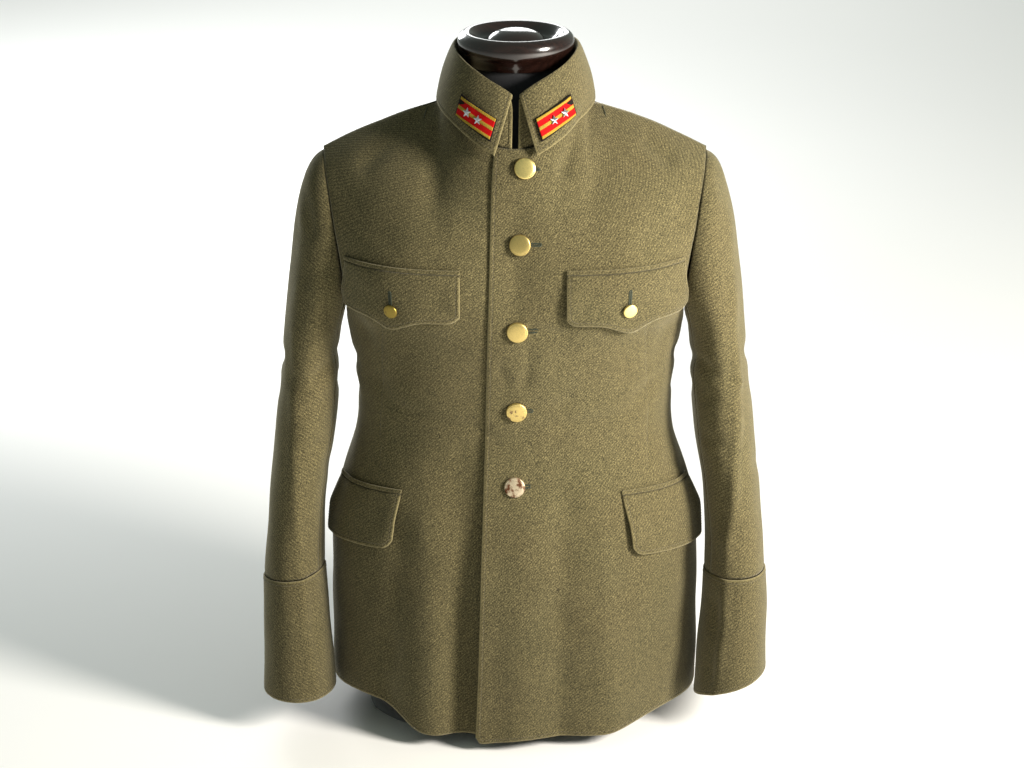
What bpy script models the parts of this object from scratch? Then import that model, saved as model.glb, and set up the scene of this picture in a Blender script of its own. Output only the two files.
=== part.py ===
"""A wool military tunic, buttoned up on a limbless dress form.

Metres, +Z up. The front faces -Y and the wearer's left is at +X. The origin is the
middle of the form's flat underside. Each cut piece of cloth is a wall of its own.
"""

import math
from collections import namedtuple

import bmesh
import bpy
from mathutils import Matrix, Vector
from mathutils.bvhtree import BVHTree

MM = 0.001

# The wearer's left and right, and the two faces of the body
LEFT = 1
RIGHT = -1
SIDE_NAMES = {LEFT: "left", RIGHT: "right"}
FRONT = "front"
BACK = "back"

# Cloth walls and the gaps between pieces
CLOTH = 1.8 * MM
COLLAR_CLOTH = 2.0 * MM
SEAM = 0.3 * MM
HALF_SEAM = SEAM / 2
LYING = 0.6 * MM
SLEEVE_SEAM = 0.4 * MM

# Heights of the body above the form's underside
HEM = 0.016
ARMPIT = 0.455
SQUARENESS = 2.15
SIDE_SEAM_ANGLE = math.radians(93)

Section = namedtuple("Section", "height half_width front back")
SECTIONS = (
    Section(0.016, 0.2025, 0.142, 0.134),
    Section(0.120, 0.2025, 0.139, 0.132),
    Section(0.200, 0.2005, 0.132, 0.126),
    Section(0.250, 0.1960, 0.124, 0.115),
    Section(0.285, 0.1840, 0.116, 0.104),
    Section(0.320, 0.1715, 0.110, 0.096),
    Section(0.345, 0.1680, 0.109, 0.094),
    Section(0.385, 0.1705, 0.113, 0.099),
    Section(0.455, 0.1810, 0.125, 0.112),
)

# Soft flutes of the skirt: where round the body, how wide, how far out, how high up
Flute = namedtuple("Flute", "angle width depth top")
FLUTES = (
    Flute(-20, 8, -4.0 * MM, 0.24),
    Flute(-37, 9, 9.0 * MM, 0.27),
    Flute(-54, 9, -6.0 * MM, 0.24),
    Flute(21, 8, -4.0 * MM, 0.21),
    Flute(38, 9, 5.0 * MM, 0.24),
    Flute(57, 9, -4.0 * MM, 0.22),
    Flute(126, 10, -5.0 * MM, 0.25),
    Flute(152, 11, 6.0 * MM, 0.27),
    Flute(-124, 10, -4.0 * MM, 0.25),
    Flute(-150, 11, 7.0 * MM, 0.28),
)

# Centre lines above the armpit: depth in front of or behind the middle, and height
Station = namedtuple("Station", "depth height")
CENTRE_FRONT = (
    Station(0.1255, 0.500),
    Station(0.1210, 0.550),
    Station(0.1125, 0.600),
    Station(0.1030, 0.635),
)
CENTRE_BACK = (
    Station(0.118, 0.500),
    Station(0.120, 0.560),
    Station(0.110, 0.620),
    Station(0.092, 0.665),
)
CHEST_FULLNESS = 6 * MM
BLADE_FULLNESS = 3 * MM

# Neckline and shoulder
NECK_HALF_WIDTH = 0.076
NECK_FRONT = 0.094
NECK_BACK = 0.066
NECK_PIT_HEIGHT = 0.655
NECK_POINT_HEIGHT = 0.684
NAPE_HEIGHT = 0.700
NECK_SHARE = 0.42

Point = namedtuple("Point", "across depth height")
# The round of the chest and of the blades as it would run on without the neck's corner
ROUND_FRONT = Point(0.0836, -0.048, 0.697)
ROUND_BACK = Point(0.0836, 0.057, 0.687)
CORNER_POWER = 3.2
SHOULDER = (
    Point(0.095, 0.000, 0.6785),
    Point(0.115, 0.000, 0.6725),
    Point(0.135, 0.000, 0.6650),
    Point(0.156, 0.000, 0.6560),
    Point(0.182, 0.000, 0.6445),
    Point(0.200, 0.000, 0.6350),
)
ARMHOLE_FRONT = (
    Point(0.1780, -0.030, 0.462),
    Point(0.1765, -0.055, 0.485),
    Point(0.1785, -0.068, 0.515),
    Point(0.1840, -0.068, 0.550),
    Point(0.1910, -0.055, 0.590),
    Point(0.1975, -0.030, 0.620),
)
ARMHOLE_BACK = (
    Point(0.1805, 0.040, 0.465),
    Point(0.1815, 0.062, 0.490),
    Point(0.1855, 0.071, 0.530),
    Point(0.1910, 0.063, 0.577),
    Point(0.1970, 0.036, 0.616),
)

# Rows and columns of the body's panels
LOWER_HEIGHTS = (HEM, 0.060, 0.110, 0.160, 0.205, 0.245, 0.280, 0.315, 0.350, 0.400, ARMPIT)
UPPER_STEPS = 8
LAP_COLUMN = 0.045
SHARED_COLUMNS = (0.22, 0.285, 0.35, 0.42, 0.51, 0.60, 0.70, 0.80, 0.90, 1.0)

# The front edge of the overlapping left front, and the edge hidden under it
Edge = namedtuple("Edge", "height past_centre")
OVERLAP = (
    Edge(0.016, 0.0420),
    Edge(0.095, 0.0385),
    Edge(0.250, 0.034),
    Edge(0.364, 0.0305),
    Edge(0.450, 0.0285),
    Edge(0.537, 0.0262),
    Edge(0.620, 0.0235),
    Edge(0.655, 0.0200),
)
LAP_LIFT = CLOTH + LYING
LAP_FULL_TO = 0.020
LAP_GONE_BY = 0.055
HEM_CORNER_DIP = 6 * MM
HEM_CORNER_REACH = 0.060
HEM_CORNER_TOP = 0.120

# The hem's rise towards the sides, by the angle from the front, where the cloth lifts off a flute
Rise = namedtuple("Rise", "angle left right")
HEM_RISE = (
    Rise(0, 0.0, 0.0),
    Rise(38, 0.0, 0.002),
    Rise(46, 0.003, 0.015),
    Rise(54, 0.009, 0.025),
    Rise(66, 0.014, 0.027),
    Rise(90, 0.010, 0.018),
    Rise(125, 0.0, 0.0),
    Rise(180, 0.0, 0.0),
)
HEM_RISE_TOP = 0.170

# Sleeves: one row for each ring, the first at the end of the sleeve head
Ring = namedtuple("Ring", "height outer inner front back")
SLEEVE_RINGS = (
    Ring(0.420, 0.2470, 0.1870, 0.078, 0.072),
    Ring(0.370, 0.2530, 0.1885, 0.078, 0.066),
    Ring(0.320, 0.2585, 0.1930, 0.079, 0.058),
    Ring(0.270, 0.2640, 0.2030, 0.083, 0.046),
    Ring(0.225, 0.2685, 0.2075, 0.089, 0.032),
    Ring(0.178, 0.2720, 0.2060, 0.097, 0.018),
)
CUFF_RINGS = (
    Ring(0.1775, 0.2732, 0.2050, 0.0985, 0.0185),
    Ring(0.140, 0.2740, 0.2030, 0.104, 0.012),
    Ring(0.085, 0.2745, 0.1990, 0.110, 0.003),
    Ring(0.036, 0.2750, 0.1960, 0.114, -0.005),
)
SLEEVE_SQUARENESS = 2.1
# How the cuff's seam and its end slant round the sleeve: all round, on the outer side, in front
Slant = namedtuple("Slant", "all_round outer front")
CUFF_SEAM_SLANT = {LEFT: Slant(-0.004, 0.002, 0.008), RIGHT: Slant(-0.006, -0.006, 0.008)}
CUFF_END_SLANT = {LEFT: Slant(0.0125, 0.0165, 0.009), RIGHT: Slant(0.0065, 0.0, 0.001)}
SLANT_FROM = 0.270
HEAD_STEPS = 6
HEAD_REACH_LOW = 4 * MM
HEAD_REACH_TOP = 30 * MM
HEAD_SPREAD = 12 * MM
HEAD_RISE = 8 * MM
HEAD_SINK = 4 * MM
HEAD_FALL = 0.36
HEAD_FALL_SLOPE = 0.1
FORE_SEAM_COLUMN = 6
HIND_SEAM_COLUMN = 11

# Collar: the fold line, the lower edge of the fall, and the gap between its leaves
COLLAR_SHIFT = 1 * MM
FOLD_HALF_WIDTH = 0.0645
FOLD_FRONT = 0.0830
FOLD_BACK = 0.0670
FALL_HALF_WIDTH = 0.0830
FALL_FRONT = 0.1075
FALL_BACK = 0.0835
LEAF_GAP_TOP = 0.2
LEAF_GAP_LOW = 9.9
STAND_END = 0.012
ROLL = 2.5 * MM
ROLL_DEPTH = 5.5 * MM
ROLL_OUT = 0.9 * ROLL
ROLL_DOWN = 0.7 * ROLL
FALL_BELLY = 3.0 * MM
FALL_STEPS = 4
Level = namedtuple("Level", "angle fold lower")
COLLAR_LEVELS = (
    Level(0, 0.7075, 0.6450),
    Level(10, 0.7168, 0.6495),
    Level(20, 0.7235, 0.6580),
    Level(32, 0.7295, 0.6675),
    Level(45, 0.7352, 0.6760),
    Level(65, 0.7412, 0.6825),
    Level(90, 0.7435, 0.6885),
    Level(135, 0.7445, 0.6910),
    Level(180, 0.7450, 0.6900),
)

# Pocket flaps
Breast = namedtuple("Breast", "centre half point_at flank")
BREAST = {LEFT: Breast(0.1134, 0.0611, 0.05, 0.0535), RIGHT: Breast(0.1154, 0.0596, 0.17, 0.0510)}
BREAST_TOP = 0.5333
BREAST_POINT = 0.0130
BREAST_POINT_REACH = 0.48
BREAST_POINT_POWER = 1.4
BREAST_CORNER = 0.0070
FLAP_COLUMNS = 12
FLAP_ROWS = 4
END_CROWDING = 0.55
FLAP_CLOTH = 2.0 * MM
Lower = namedtuple("Lower", "inner outer depth_inner depth_outer")
LOWER = {LEFT: Lower(49.5, 86.0, 0.0640, 0.0690), RIGHT: Lower(52.0, 86.0, 0.0585, 0.0630)}
LOWER_TOP_INNER = 0.2800
LOWER_TOP_OUTER = 0.2730
LOWER_CORNER = 0.0080
LOWER_RADIUS = 0.190
WELT_HEIGHT = 4 * MM

# Buttons
Button = namedtuple("Button", "across height")
FRONT_BUTTONS = (
    Button(0.0100, 0.637),
    Button(0.0060, 0.563),
    Button(0.0030, 0.473),
    Button(0.0020, 0.382),
    Button(0.0000, 0.297),
)
BUTTON_RADIUS = 11.0 * MM
POCKET_BUTTON_RADIUS = 7.6 * MM
POCKET_BUTTONS = {LEFT: Button(0.1160, 0.4940), RIGHT: Button(0.1250, 0.4920)}
BUTTON_SIDES = 16
PROBE_RINGS = (0.0, 0.5, 0.95)

# Rank tabs on the collar: part of the fall they cover, measured round and down it
TAB_FROM = 7.0
TAB_TO = 34.0
TAB_TOP = 0.46
TAB_FOOT = 0.80
TAB_CLOTH = 1.2 * MM
TAB_COLUMNS = 6
TAB_ROWS = 3
STAR_RADIUS = 5.2 * MM
STAR_WAIST = 0.42
STAR_THICKNESS = 1.0 * MM
STAR_PEAK = 0.9 * MM
STAR_POINTS = 5
STARS_AT = (0.36, 0.66)

# Dress form: how far the padded torso stays inside the cloth at each height
Inset = namedtuple("Inset", "height inside")
FORM_INSETS = (
    Inset(0.000, 0.040),
    Inset(0.120, 0.038),
    Inset(0.200, 0.031),
    Inset(0.285, 0.016),
    Inset(0.345, 0.008),
    Inset(0.455, 0.006),
)
FORM_SHOULDER_INSET = CLOTH + 0.45 * MM
FORM_SHOULDER_FROM = 0.60
FORM_HEIGHTS = (0.0, 0.090, 0.180, 0.250, 0.305, 0.360, 0.410, ARMPIT)
FORM_ARM_COLUMNS = 4
FORM_ARM_BULGE = 7 * MM
NECK_RADIUS = 0.0525
NECK_TOP = 0.7230
FORM_NECK_STEPS = 4
NECK_PULL = 2.2
CAP_SIDES = 26
Turned = namedtuple("Turned", "radius height")
CAP_PROFILE = (
    Turned(0.0000, 0.7575),
    Turned(0.0120, 0.7567),
    Turned(0.0210, 0.7540),
    Turned(0.0280, 0.7492),
    Turned(0.0310, 0.7450),
    Turned(0.0370, 0.7440),
    Turned(0.0415, 0.7462),
    Turned(0.0450, 0.7510),
    Turned(0.0490, 0.7547),
    Turned(0.0540, 0.7546),
    Turned(0.0585, 0.7510),
    Turned(0.0603, 0.7450),
    Turned(0.0592, 0.7380),
    Turned(0.0562, 0.7320),
    Turned(0.0550, 0.7260),
    Turned(0.0540, 0.7233),
    Turned(0.0000, 0.7233),
)

SEARCH_STEPS = 30


def clear_scene():
    for obj in list(bpy.data.objects):
        bpy.data.objects.remove(obj, do_unlink=True)


def smooth(value):
    """An eased step from 0 to 1."""
    value = min(1.0, max(0.0, value))
    return value * value * (3 - 2 * value)


def read_table(rows, key, at):
    """A smooth reading between a table's rows, as a tuple of its other columns."""
    keys = [getattr(row, key) for row in rows]
    fields = [name for name in rows[0]._fields if name != key]
    if at <= keys[0] if keys[0] < keys[-1] else at >= keys[0]:
        return [getattr(rows[0], name) for name in fields]
    rising = keys[0] < keys[-1]
    index = 0
    while index < len(rows) - 2 and (at > keys[index + 1] if rising else at < keys[index + 1]):
        index += 1
    span = keys[index + 1] - keys[index]
    part = min(1.0, (at - keys[index]) / span)
    found = []
    for name in fields:
        values = [getattr(row, name) for row in rows]
        slopes = []
        for here in (index, index + 1):
            low = max(here - 1, 0)
            high = min(here + 1, len(rows) - 1)
            slopes.append((values[high] - values[low]) / (keys[high] - keys[low]))
        start, end = values[index], values[index + 1]
        p2, p3 = part * part, part * part * part
        found.append(
            (2 * p3 - 3 * p2 + 1) * start
            + (p3 - 2 * p2 + part) * span * slopes[0]
            + (3 * p2 - 2 * p3) * end
            + (p3 - p2) * span * slopes[1]
        )
    return found


def curve_through(points):
    """A smooth curve through the points, as a function of its share of the length."""
    along = [0.0]
    for start, end in zip(points, points[1:]):
        along.append(along[-1] + (end - start).length)
    Knot = namedtuple("Knot", "along x y z")
    knots = [Knot(a / along[-1], p.x, p.y, p.z) for a, p in zip(along, points)]
    return lambda share: Vector(read_table(knots, "along", share))


def oval(angle, half_width, depth, squareness):
    """A point of an oval, by the angle from the front round towards +X."""
    sine = abs(math.sin(angle)) / half_width
    cosine = abs(math.cos(angle)) / depth
    radius = (sine**squareness + cosine**squareness) ** (-1 / squareness)
    return radius * math.sin(angle), -radius * math.cos(angle)


def flute_depth(angle, height):
    degrees = math.degrees(angle)
    total = 0.0
    for flute in FLUTES:
        away = (degrees - flute.angle + 180) % 360 - 180
        share = smooth((flute.top - height) / (flute.top - HEM))
        total += flute.depth * share * math.exp(-((away / flute.width) ** 2))
    return total


def body_ring(angle, height, fluted=True):
    """A point of the body below the armpits."""
    half_width, front, back = read_table(SECTIONS, "height", height)
    depth = front if math.cos(angle) > 0 else back
    x, y = oval(angle, half_width, depth, SQUARENESS)
    if fluted:
        radius = math.hypot(x, y)
        grown = (radius + flute_depth(angle, height)) / radius
        x, y = x * grown, y * grown
    return Vector((x, y, height))


def neckline(face, angle):
    """The neck seam, by the angle from the centre line to the neck point."""
    depth = -NECK_FRONT if face == FRONT else NECK_BACK
    middle = NECK_PIT_HEIGHT if face == FRONT else NAPE_HEIGHT
    rise = (NECK_POINT_HEIGHT - middle) * math.sin(angle) ** 2
    return Vector((NECK_HALF_WIDTH * math.sin(angle), depth * math.cos(angle), middle + rise))


def as_vectors(points):
    return [Vector((p.across, p.depth, p.height)) for p in points]


def side_angle(face, share):
    """The polar angle at a share of the way from the centre line to the side seam."""
    if face == FRONT:
        return share * SIDE_SEAM_ANGLE
    return math.pi - share * (math.pi - SIDE_SEAM_ANGLE)


def make_upper(face):
    """The body above the armpits on the +X side, from its four border curves."""
    sign = -1 if face == FRONT else 1
    stations = CENTRE_FRONT if face == FRONT else CENTRE_BACK
    armhole = ARMHOLE_FRONT if face == FRONT else ARMHOLE_BACK
    fullness = CHEST_FULLNESS if face == FRONT else BLADE_FULLNESS
    underarm = body_ring(SIDE_SEAM_ANGLE, ARMPIT)
    neck_point = neckline(face, math.pi / 2)
    shoulder = as_vectors(SHOULDER)
    shoulder_line = curve_through([neck_point] + shoulder)
    middle = [Vector((0, sign * s.depth, s.height)) for s in stations]
    centre = curve_through([body_ring(side_angle(face, 0), ARMPIT)] + middle + [neckline(face, 0)])
    hole = curve_through([underarm] + as_vectors(armhole) + [shoulder[-1]])
    full_round = as_vectors([ROUND_FRONT if face == FRONT else ROUND_BACK])[0]
    ends = (neckline(face, 0), shoulder[-1])

    def top(u):
        if u < NECK_SHARE:
            return neckline(face, u / NECK_SHARE * math.pi / 2)
        return shoulder_line((u - NECK_SHARE) / (1 - NECK_SHARE))

    def upper(u, v):
        foot = body_ring(side_angle(face, u), ARMPIT)
        eased = ends[0] * (1 - u) ** 2 + full_round * (2 * u * (1 - u)) + ends[1] * u**2
        point = foot * (1 - v) + eased * v + (top(u) - eased) * v**CORNER_POWER
        point += (centre(v) - centre(0) * (1 - v) - centre(1) * v) * (1 - u)
        point += (hole(v) - hole(0) * (1 - v) - hole(1) * v) * u
        full = math.sin(math.pi * smooth(u) ** 1.1) * math.sin(math.pi * v) ** 1.4
        return point + Vector((0, sign * fullness * full, 0))

    return upper


UPPER = {FRONT: make_upper(FRONT), BACK: make_upper(BACK)}


def on_body(face, u, row, fluted=True):
    """A point of the body. A row is a height below the armpit, or 1 + v above it."""
    side = -1 if u < 0 else 1
    if row < 1:
        return body_ring(side * side_angle(face, abs(u)), row, fluted)
    point = UPPER[face](abs(u), row - 1)
    return Vector((side * point.x, point.y, point.z))


def body_rows(heights):
    """Heights up to the armpit, then 1 + v up to the shoulder."""
    return list(heights) + [1 + step / UPPER_STEPS for step in range(1, UPPER_STEPS + 1)]


def normals_of(grid, closed=False):
    """The surface's direction at each point of a grid, from its neighbours."""
    rows, columns = len(grid), len(grid[0])
    found = []
    for i in range(rows):
        line = []
        for j in range(columns):
            if closed:
                before, after = grid[i][j - 1], grid[i][(j + 1) % columns]
            else:
                before, after = grid[i][max(j - 1, 0)], grid[i][min(j + 1, columns - 1)]
            below, above = grid[max(i - 1, 0)][j], grid[min(i + 1, rows - 1)][j]
            line.append((after - before).cross(above - below).normalized())
        found.append(line)
    return found


def turned_away(normals, grid, centre):
    """The normals, all turned over if they point at the centre."""
    total = 0.0
    for line, points in zip(normals, grid):
        for normal, point in zip(line, points):
            total += normal.dot(point - centre)
    if total > 0:
        return normals
    return [[-normal for normal in line] for line in normals]


def moved(grid, normals, distance):
    return [[p + n * distance for p, n in zip(a, b)] for a, b in zip(grid, normals)]


def pull_in(grid, normals, edges, distance):
    """The grid with some borders drawn back along the surface."""
    result = [list(line) for line in grid]
    last_row, last_column = len(grid) - 1, len(grid[0]) - 1
    for edge, rows in edges:
        for i, j in edge_cells(edge, rows, last_row, last_column):
            inner_i = {"top": i - 1, "bottom": i + 1}.get(edge, i)
            inner_j = {"first": j + 1, "last": j - 1}.get(edge, j)
            along = grid[inner_i][inner_j] - grid[i][j]
            along -= normals[i][j] * along.dot(normals[i][j])
            result[i][j] = result[i][j] + along.normalized() * distance
    return result


def edge_cells(edge, rows, last_row, last_column):
    if edge == "top":
        return [(last_row, j) for j in range(last_column + 1)]
    if edge == "bottom":
        return [(0, j) for j in range(last_column + 1)]
    column = 0 if edge == "first" else last_column
    return [(i, column) for i in range(last_row + 1) if i < rows]


def make_material(name, colour, roughness, metallic=0.0):
    material = bpy.data.materials.new(name)
    material.use_nodes = True
    shader = material.node_tree.nodes["Principled BSDF"]
    shader.inputs["Base Color"].default_value = (*colour, 1.0)
    shader.inputs["Roughness"].default_value = roughness
    shader.inputs["Metallic"].default_value = metallic
    return material


def add_object(name, mesh, material, collection):
    obj = bpy.data.objects.new(name, mesh)
    mesh.materials.append(material)
    mesh.shade_smooth()
    mesh.set_sharp_from_angle(angle=math.radians(40))
    collection.objects.link(obj)
    return obj


def mesh_from(bm, name):
    bmesh.ops.recalc_face_normals(bm, faces=bm.faces)
    mesh = bpy.data.meshes.new(name)
    bm.to_mesh(mesh)
    bm.free()
    return mesh


def add_pair(bm, corners, falling):
    """Two triangles between four corners, cut along the rising or the falling diagonal."""
    a, b, c, d = corners
    if falling:
        bm.faces.new((a, b, d))
        bm.faces.new((b, c, d))
    else:
        bm.faces.new((a, b, c))
        bm.faces.new((a, c, d))


def wall(name, outer, inner, material, collection, closed=False, falling=False):
    """A closed wall between two grids of like size. A closed one runs round a tube."""
    bm = bmesh.new()
    skins = [[[bm.verts.new(p) for p in line] for line in grid] for grid in (outer, inner)]
    rows, columns = len(outer), len(outer[0])
    spans = columns if closed else columns - 1
    for skin in skins:
        for i in range(rows - 1):
            for j in range(spans):
                k = (j + 1) % columns
                corners = (skin[i][j], skin[i][k], skin[i + 1][k], skin[i + 1][j])
                add_pair(bm, corners, falling)
    out, ins = skins
    for i in (0, rows - 1):
        for j in range(spans):
            k = (j + 1) % columns
            bm.faces.new((out[i][j], out[i][k], ins[i][k], ins[i][j]))
    if not closed:
        for j in (0, columns - 1):
            for i in range(rows - 1):
                bm.faces.new((out[i][j], out[i + 1][j], ins[i + 1][j], ins[i][j]))
    return add_object(name, mesh_from(bm, name), material, collection)


def share_of_side(face, row, across):
    """The share of the way to the side seam at which a row reaches a distance across."""
    low, high = 0.0, 0.6
    for _ in range(SEARCH_STEPS):
        middle = (low + high) / 2
        if on_body(face, middle, row, False).x < across:
            low = middle
        else:
            high = middle
    return (low + high) / 2


def row_height(row):
    return row if row < 1 else on_body(FRONT, 0, row).z


def front_grid(side):
    """One front from its own edge to the side seam. Both have the same columns in the lap."""
    grid = []
    for row in body_rows(LOWER_HEIGHTS):
        edge = lap_edge(row)
        line = [-LAP_COLUMN, 0.0, LAP_COLUMN, edge, (edge + SHARED_COLUMNS[0]) / 2]
        if side == LEFT:
            line.insert(0, -edge)
        line += SHARED_COLUMNS
        grid.append([on_body(FRONT, side * u, row) for u in line])
    return grid


def lap_edge(row):
    """The share of the side at which the overlapping front ends, past the centre."""
    past = read_table(OVERLAP, "height", row_height(row))[0]
    return share_of_side(FRONT, row, past)


def back_grid(side):
    line = [0.0, SHARED_COLUMNS[0] / 2] + list(SHARED_COLUMNS)
    return [[on_body(BACK, side * u, row) for u in line] for row in body_rows(LOWER_HEIGHTS)]


BODY_MIDDLE = Vector((0, 0, 0.35))
SEAT_REACH = 20 * MM
CELL_PROBES = 4
LAYING_PASSES = 3
ARMPIT_ROW = len(LOWER_HEIGHTS) - 1


def share_normals(front, back, columns):
    """Gives a front and a back the same direction along their side and shoulder seams."""
    for i in range(ARMPIT_ROW + 1):
        both = (front[i][-1] + back[i][-1]).normalized()
        front[i][-1] = back[i][-1] = both
    for j in range(1, columns + 1):
        both = (front[-1][-j] + back[-1][-j]).normalized()
        front[-1][-j] = back[-1][-j] = both


def lap_lift(point):
    """How far the overlapping front stands out over the other near the centre."""
    return LAP_LIFT * smooth((LAP_GONE_BY - point.x) / (LAP_GONE_BY - LAP_FULL_TO))


def hem_dip(point):
    """How far the overlapping front's lower corner hangs below the hem."""
    from_corner = point.x + OVERLAP[0].past_centre
    low = smooth((HEM_CORNER_TOP - point.z) / (HEM_CORNER_TOP - HEM))
    return HEM_CORNER_DIP * low * smooth(1 - from_corner / HEM_CORNER_REACH)


def with_hem(grid):
    """A panel with its hem raised towards the sides."""
    result = []
    for line in grid:
        row = []
        for point in line:
            left, right = read_table(HEM_RISE, "angle", abs(math.degrees(polar(point))))
            low = smooth((HEM_RISE_TOP - point.z) / (HEM_RISE_TOP - HEM))
            rise = (left if point.x > 0 else right) * low
            row.append(point + Vector((0, 0, rise)))
        result.append(row)
    return result


def body_panels():
    """Fronts and backs as grids with normals: {name: (grid, normals)}."""
    panels = {}
    for side, word in SIDE_NAMES.items():
        front = with_hem(front_grid(side))
        back = with_hem(back_grid(side))
        front_normals = turned_away(normals_of(front), front, BODY_MIDDLE)
        back_normals = turned_away(normals_of(back), back, BODY_MIDDLE)
        for line in back_normals:
            line[0] = Vector((0, line[0].y, line[0].z)).normalized()
        share_normals(front_normals, back_normals, len(SHARED_COLUMNS) - 3)
        panels["front_" + word] = (front, front_normals)
        panels["back_" + word] = (back, back_normals)
    return panels


def lifted_front(grid, normals):
    """The left front with its lap lifted and its corner hanging."""
    result = []
    for line, directions in zip(grid, normals):
        row = []
        for point, direction in zip(line, directions):
            moved_out = point + direction * lap_lift(point)
            row.append(moved_out - Vector((0, 0, hem_dip(point))))
        result.append(row)
    return result


def build_body(panels, cloth, collection):
    """The four panels. It gives back a tree of each front's outside, to seat things on."""
    below_armpit = ARMPIT_ROW + 1
    fronts = {}
    for name, (grid, normals) in panels.items():
        edges = [("last", below_armpit), ("top", 0)]
        if name.startswith("back"):
            edges.append(("first", len(grid)))
        trimmed = pull_in(grid, normals, edges, HALF_SEAM)
        if name == "front_left":
            trimmed = lifted_front(trimmed, normals)
        falling = name in ("front_right", "back_right")
        inner = moved(trimmed, normals, -CLOTH)
        obj = wall(name, trimmed, inner, cloth, collection, falling=falling)
        if name.startswith("front"):
            fronts[LEFT if name == "front_left" else RIGHT] = tree_of(obj.data)
    return fronts


def tree_of(mesh):
    mesh.calc_loop_triangles()
    points = [v.co for v in mesh.vertices]
    return BVHTree.FromPolygons(points, [tuple(t.vertices) for t in mesh.loop_triangles])


def seated(tree, point, normal):
    """The point on the panel's own faces that lies under or over a point."""
    found, _, _, _ = tree.ray_cast(point + normal * SEAT_REACH, -normal, 2 * SEAT_REACH)
    return found or point


def inside_cell(grid, i, j, a, b, falling):
    """A reading on the two triangles of one cell of a grid, at shares of its rows and columns."""
    near, right, far, left = grid[i][j], grid[i][j + 1], grid[i + 1][j + 1], grid[i + 1][j]
    if falling and a + b < 1:
        return near + (right - near) * b + (left - near) * a
    if falling:
        return far + (left - far) * (1 - b) + (right - far) * (1 - a)
    if a < b:
        return near + (right - near) * b + (far - right) * a
    return near + (left - near) * a + (far - left) * b


def laid_on(tree, grid, normals, gap, falling):
    """The grid moved out until the whole of each of its cells clears the panel by a gap."""
    rises = [[gap] * len(line) for line in grid]
    shares = [k / CELL_PROBES for k in range(CELL_PROBES + 1)]
    for _ in range(LAYING_PASSES):
        lifted = raised(grid, normals, rises)
        missing = [[0.0] * len(line) for line in grid]
        for i in range(len(grid) - 1):
            for j in range(len(grid[0]) - 1):
                worst = 0.0
                for a in shares:
                    for b in shares:
                        point = inside_cell(lifted, i, j, a, b, falling)
                        normal = inside_cell(normals, i, j, a, b, falling).normalized()
                        clear = (point - seated(tree, point, normal)).dot(normal)
                        worst = max(worst, gap - clear)
                for m, n in ((i, j), (i, j + 1), (i + 1, j), (i + 1, j + 1)):
                    missing[m][n] = max(missing[m][n], worst)
        rises = [[r + m for r, m in zip(a, b)] for a, b in zip(rises, missing)]
    return raised(grid, normals, rises)


def raised(grid, normals, rises):
    """The grid with each point moved out by its own distance."""
    lines = zip(grid, normals, rises)
    return [[p + n * rise for p, n, rise in zip(*line)] for line in lines]


def armhole_loop(panels, side):
    """The armhole from the shoulder down its front, under the arm and up its back."""
    word = SIDE_NAMES[side]
    front = [line[-1] for line in panels["front_" + word][0][ARMPIT_ROW:]]
    back = [line[-1] for line in panels["back_" + word][0][ARMPIT_ROW:]]
    return front[::-1] + back[1:-1]


def cuff_slant(side, height, angle):
    """How far a sleeve ring is raised at an angle from its outer side towards its front."""
    seam, end = CUFF_SEAM_SLANT[side], CUFF_END_SLANT[side]
    seam_height, end_height = CUFF_RINGS[0].height, CUFF_RINGS[-1].height
    below = min(1.0, max(0.0, (seam_height - height) / (seam_height - end_height)))
    above = min(1.0, max(0.0, (SLANT_FROM - height) / (SLANT_FROM - seam_height)))
    rises = []
    for slant in (seam, end):
        turned = slant.outer * math.cos(angle) + slant.front * math.sin(angle)
        rises.append(slant.all_round + turned)
    return above * (rises[0] + (rises[1] - rises[0]) * below)


def sleeve_ring_point(ring, side, angle):
    centre_x = (ring.outer + ring.inner) / 2
    centre_y = (ring.back - ring.front) / 2
    half_x = (ring.outer - ring.inner) / 2
    half_y = (ring.back + ring.front) / 2
    along, out = oval(angle, half_y, half_x, SLEEVE_SQUARENESS)
    height = ring.height + cuff_slant(side, ring.height, angle)
    return Vector((side * (centre_x - out), centre_y - along, height))


def bezier(points, t):
    a, b, c, d = points
    s = 1 - t
    return a * s**3 + b * (3 * s * s * t) + c * (3 * s * t * t) + d * t**3


def sleeve_grid(panels, side):
    """A sleeve from the armhole to the cuff seam, as rings running down."""
    loop = armhole_loop(panels, side)
    count = len(loop)
    columns = []
    for k, start in enumerate(loop):
        angle = math.tau * k / count
        start = start + Vector((side * SLEEVE_SEAM, 0, 0))
        end = sleeve_ring_point(SLEEVE_RINGS[0], side, angle)
        topness = smooth((1 + math.cos(angle)) / 2)
        reach = Vector(
            (
                side * (HEAD_REACH_LOW + (HEAD_REACH_TOP - HEAD_REACH_LOW) * topness),
                -HEAD_SPREAD * math.sin(angle),
                HEAD_RISE * math.cos(angle) - HEAD_SINK,
            )
        )
        down = Vector((side * HEAD_FALL_SLOPE, 0, -1)).normalized()
        fall = down * ((end - start).length * HEAD_FALL)
        handles = (start, start + reach, end - fall, end)
        columns.append([bezier(handles, step / HEAD_STEPS) for step in range(HEAD_STEPS + 1)])
    grid = [[column[i] for column in columns] for i in range(HEAD_STEPS + 1)]
    for ring in SLEEVE_RINGS[1:]:
        angles = [math.tau * k / count for k in range(count)]
        grid.append([sleeve_ring_point(ring, side, angle) for angle in angles])
    return grid


def sleeve_normals(grid, side):
    """Directions out of a sleeve, ring by ring."""
    normals = normals_of(grid, closed=True)
    for points, line in zip(grid, normals):
        centre = sum(points, Vector()) / len(points)
        if sum(n.dot(p - centre) for n, p in zip(line, points)) < 0:
            line[:] = [-n for n in line]
    return normals


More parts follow.
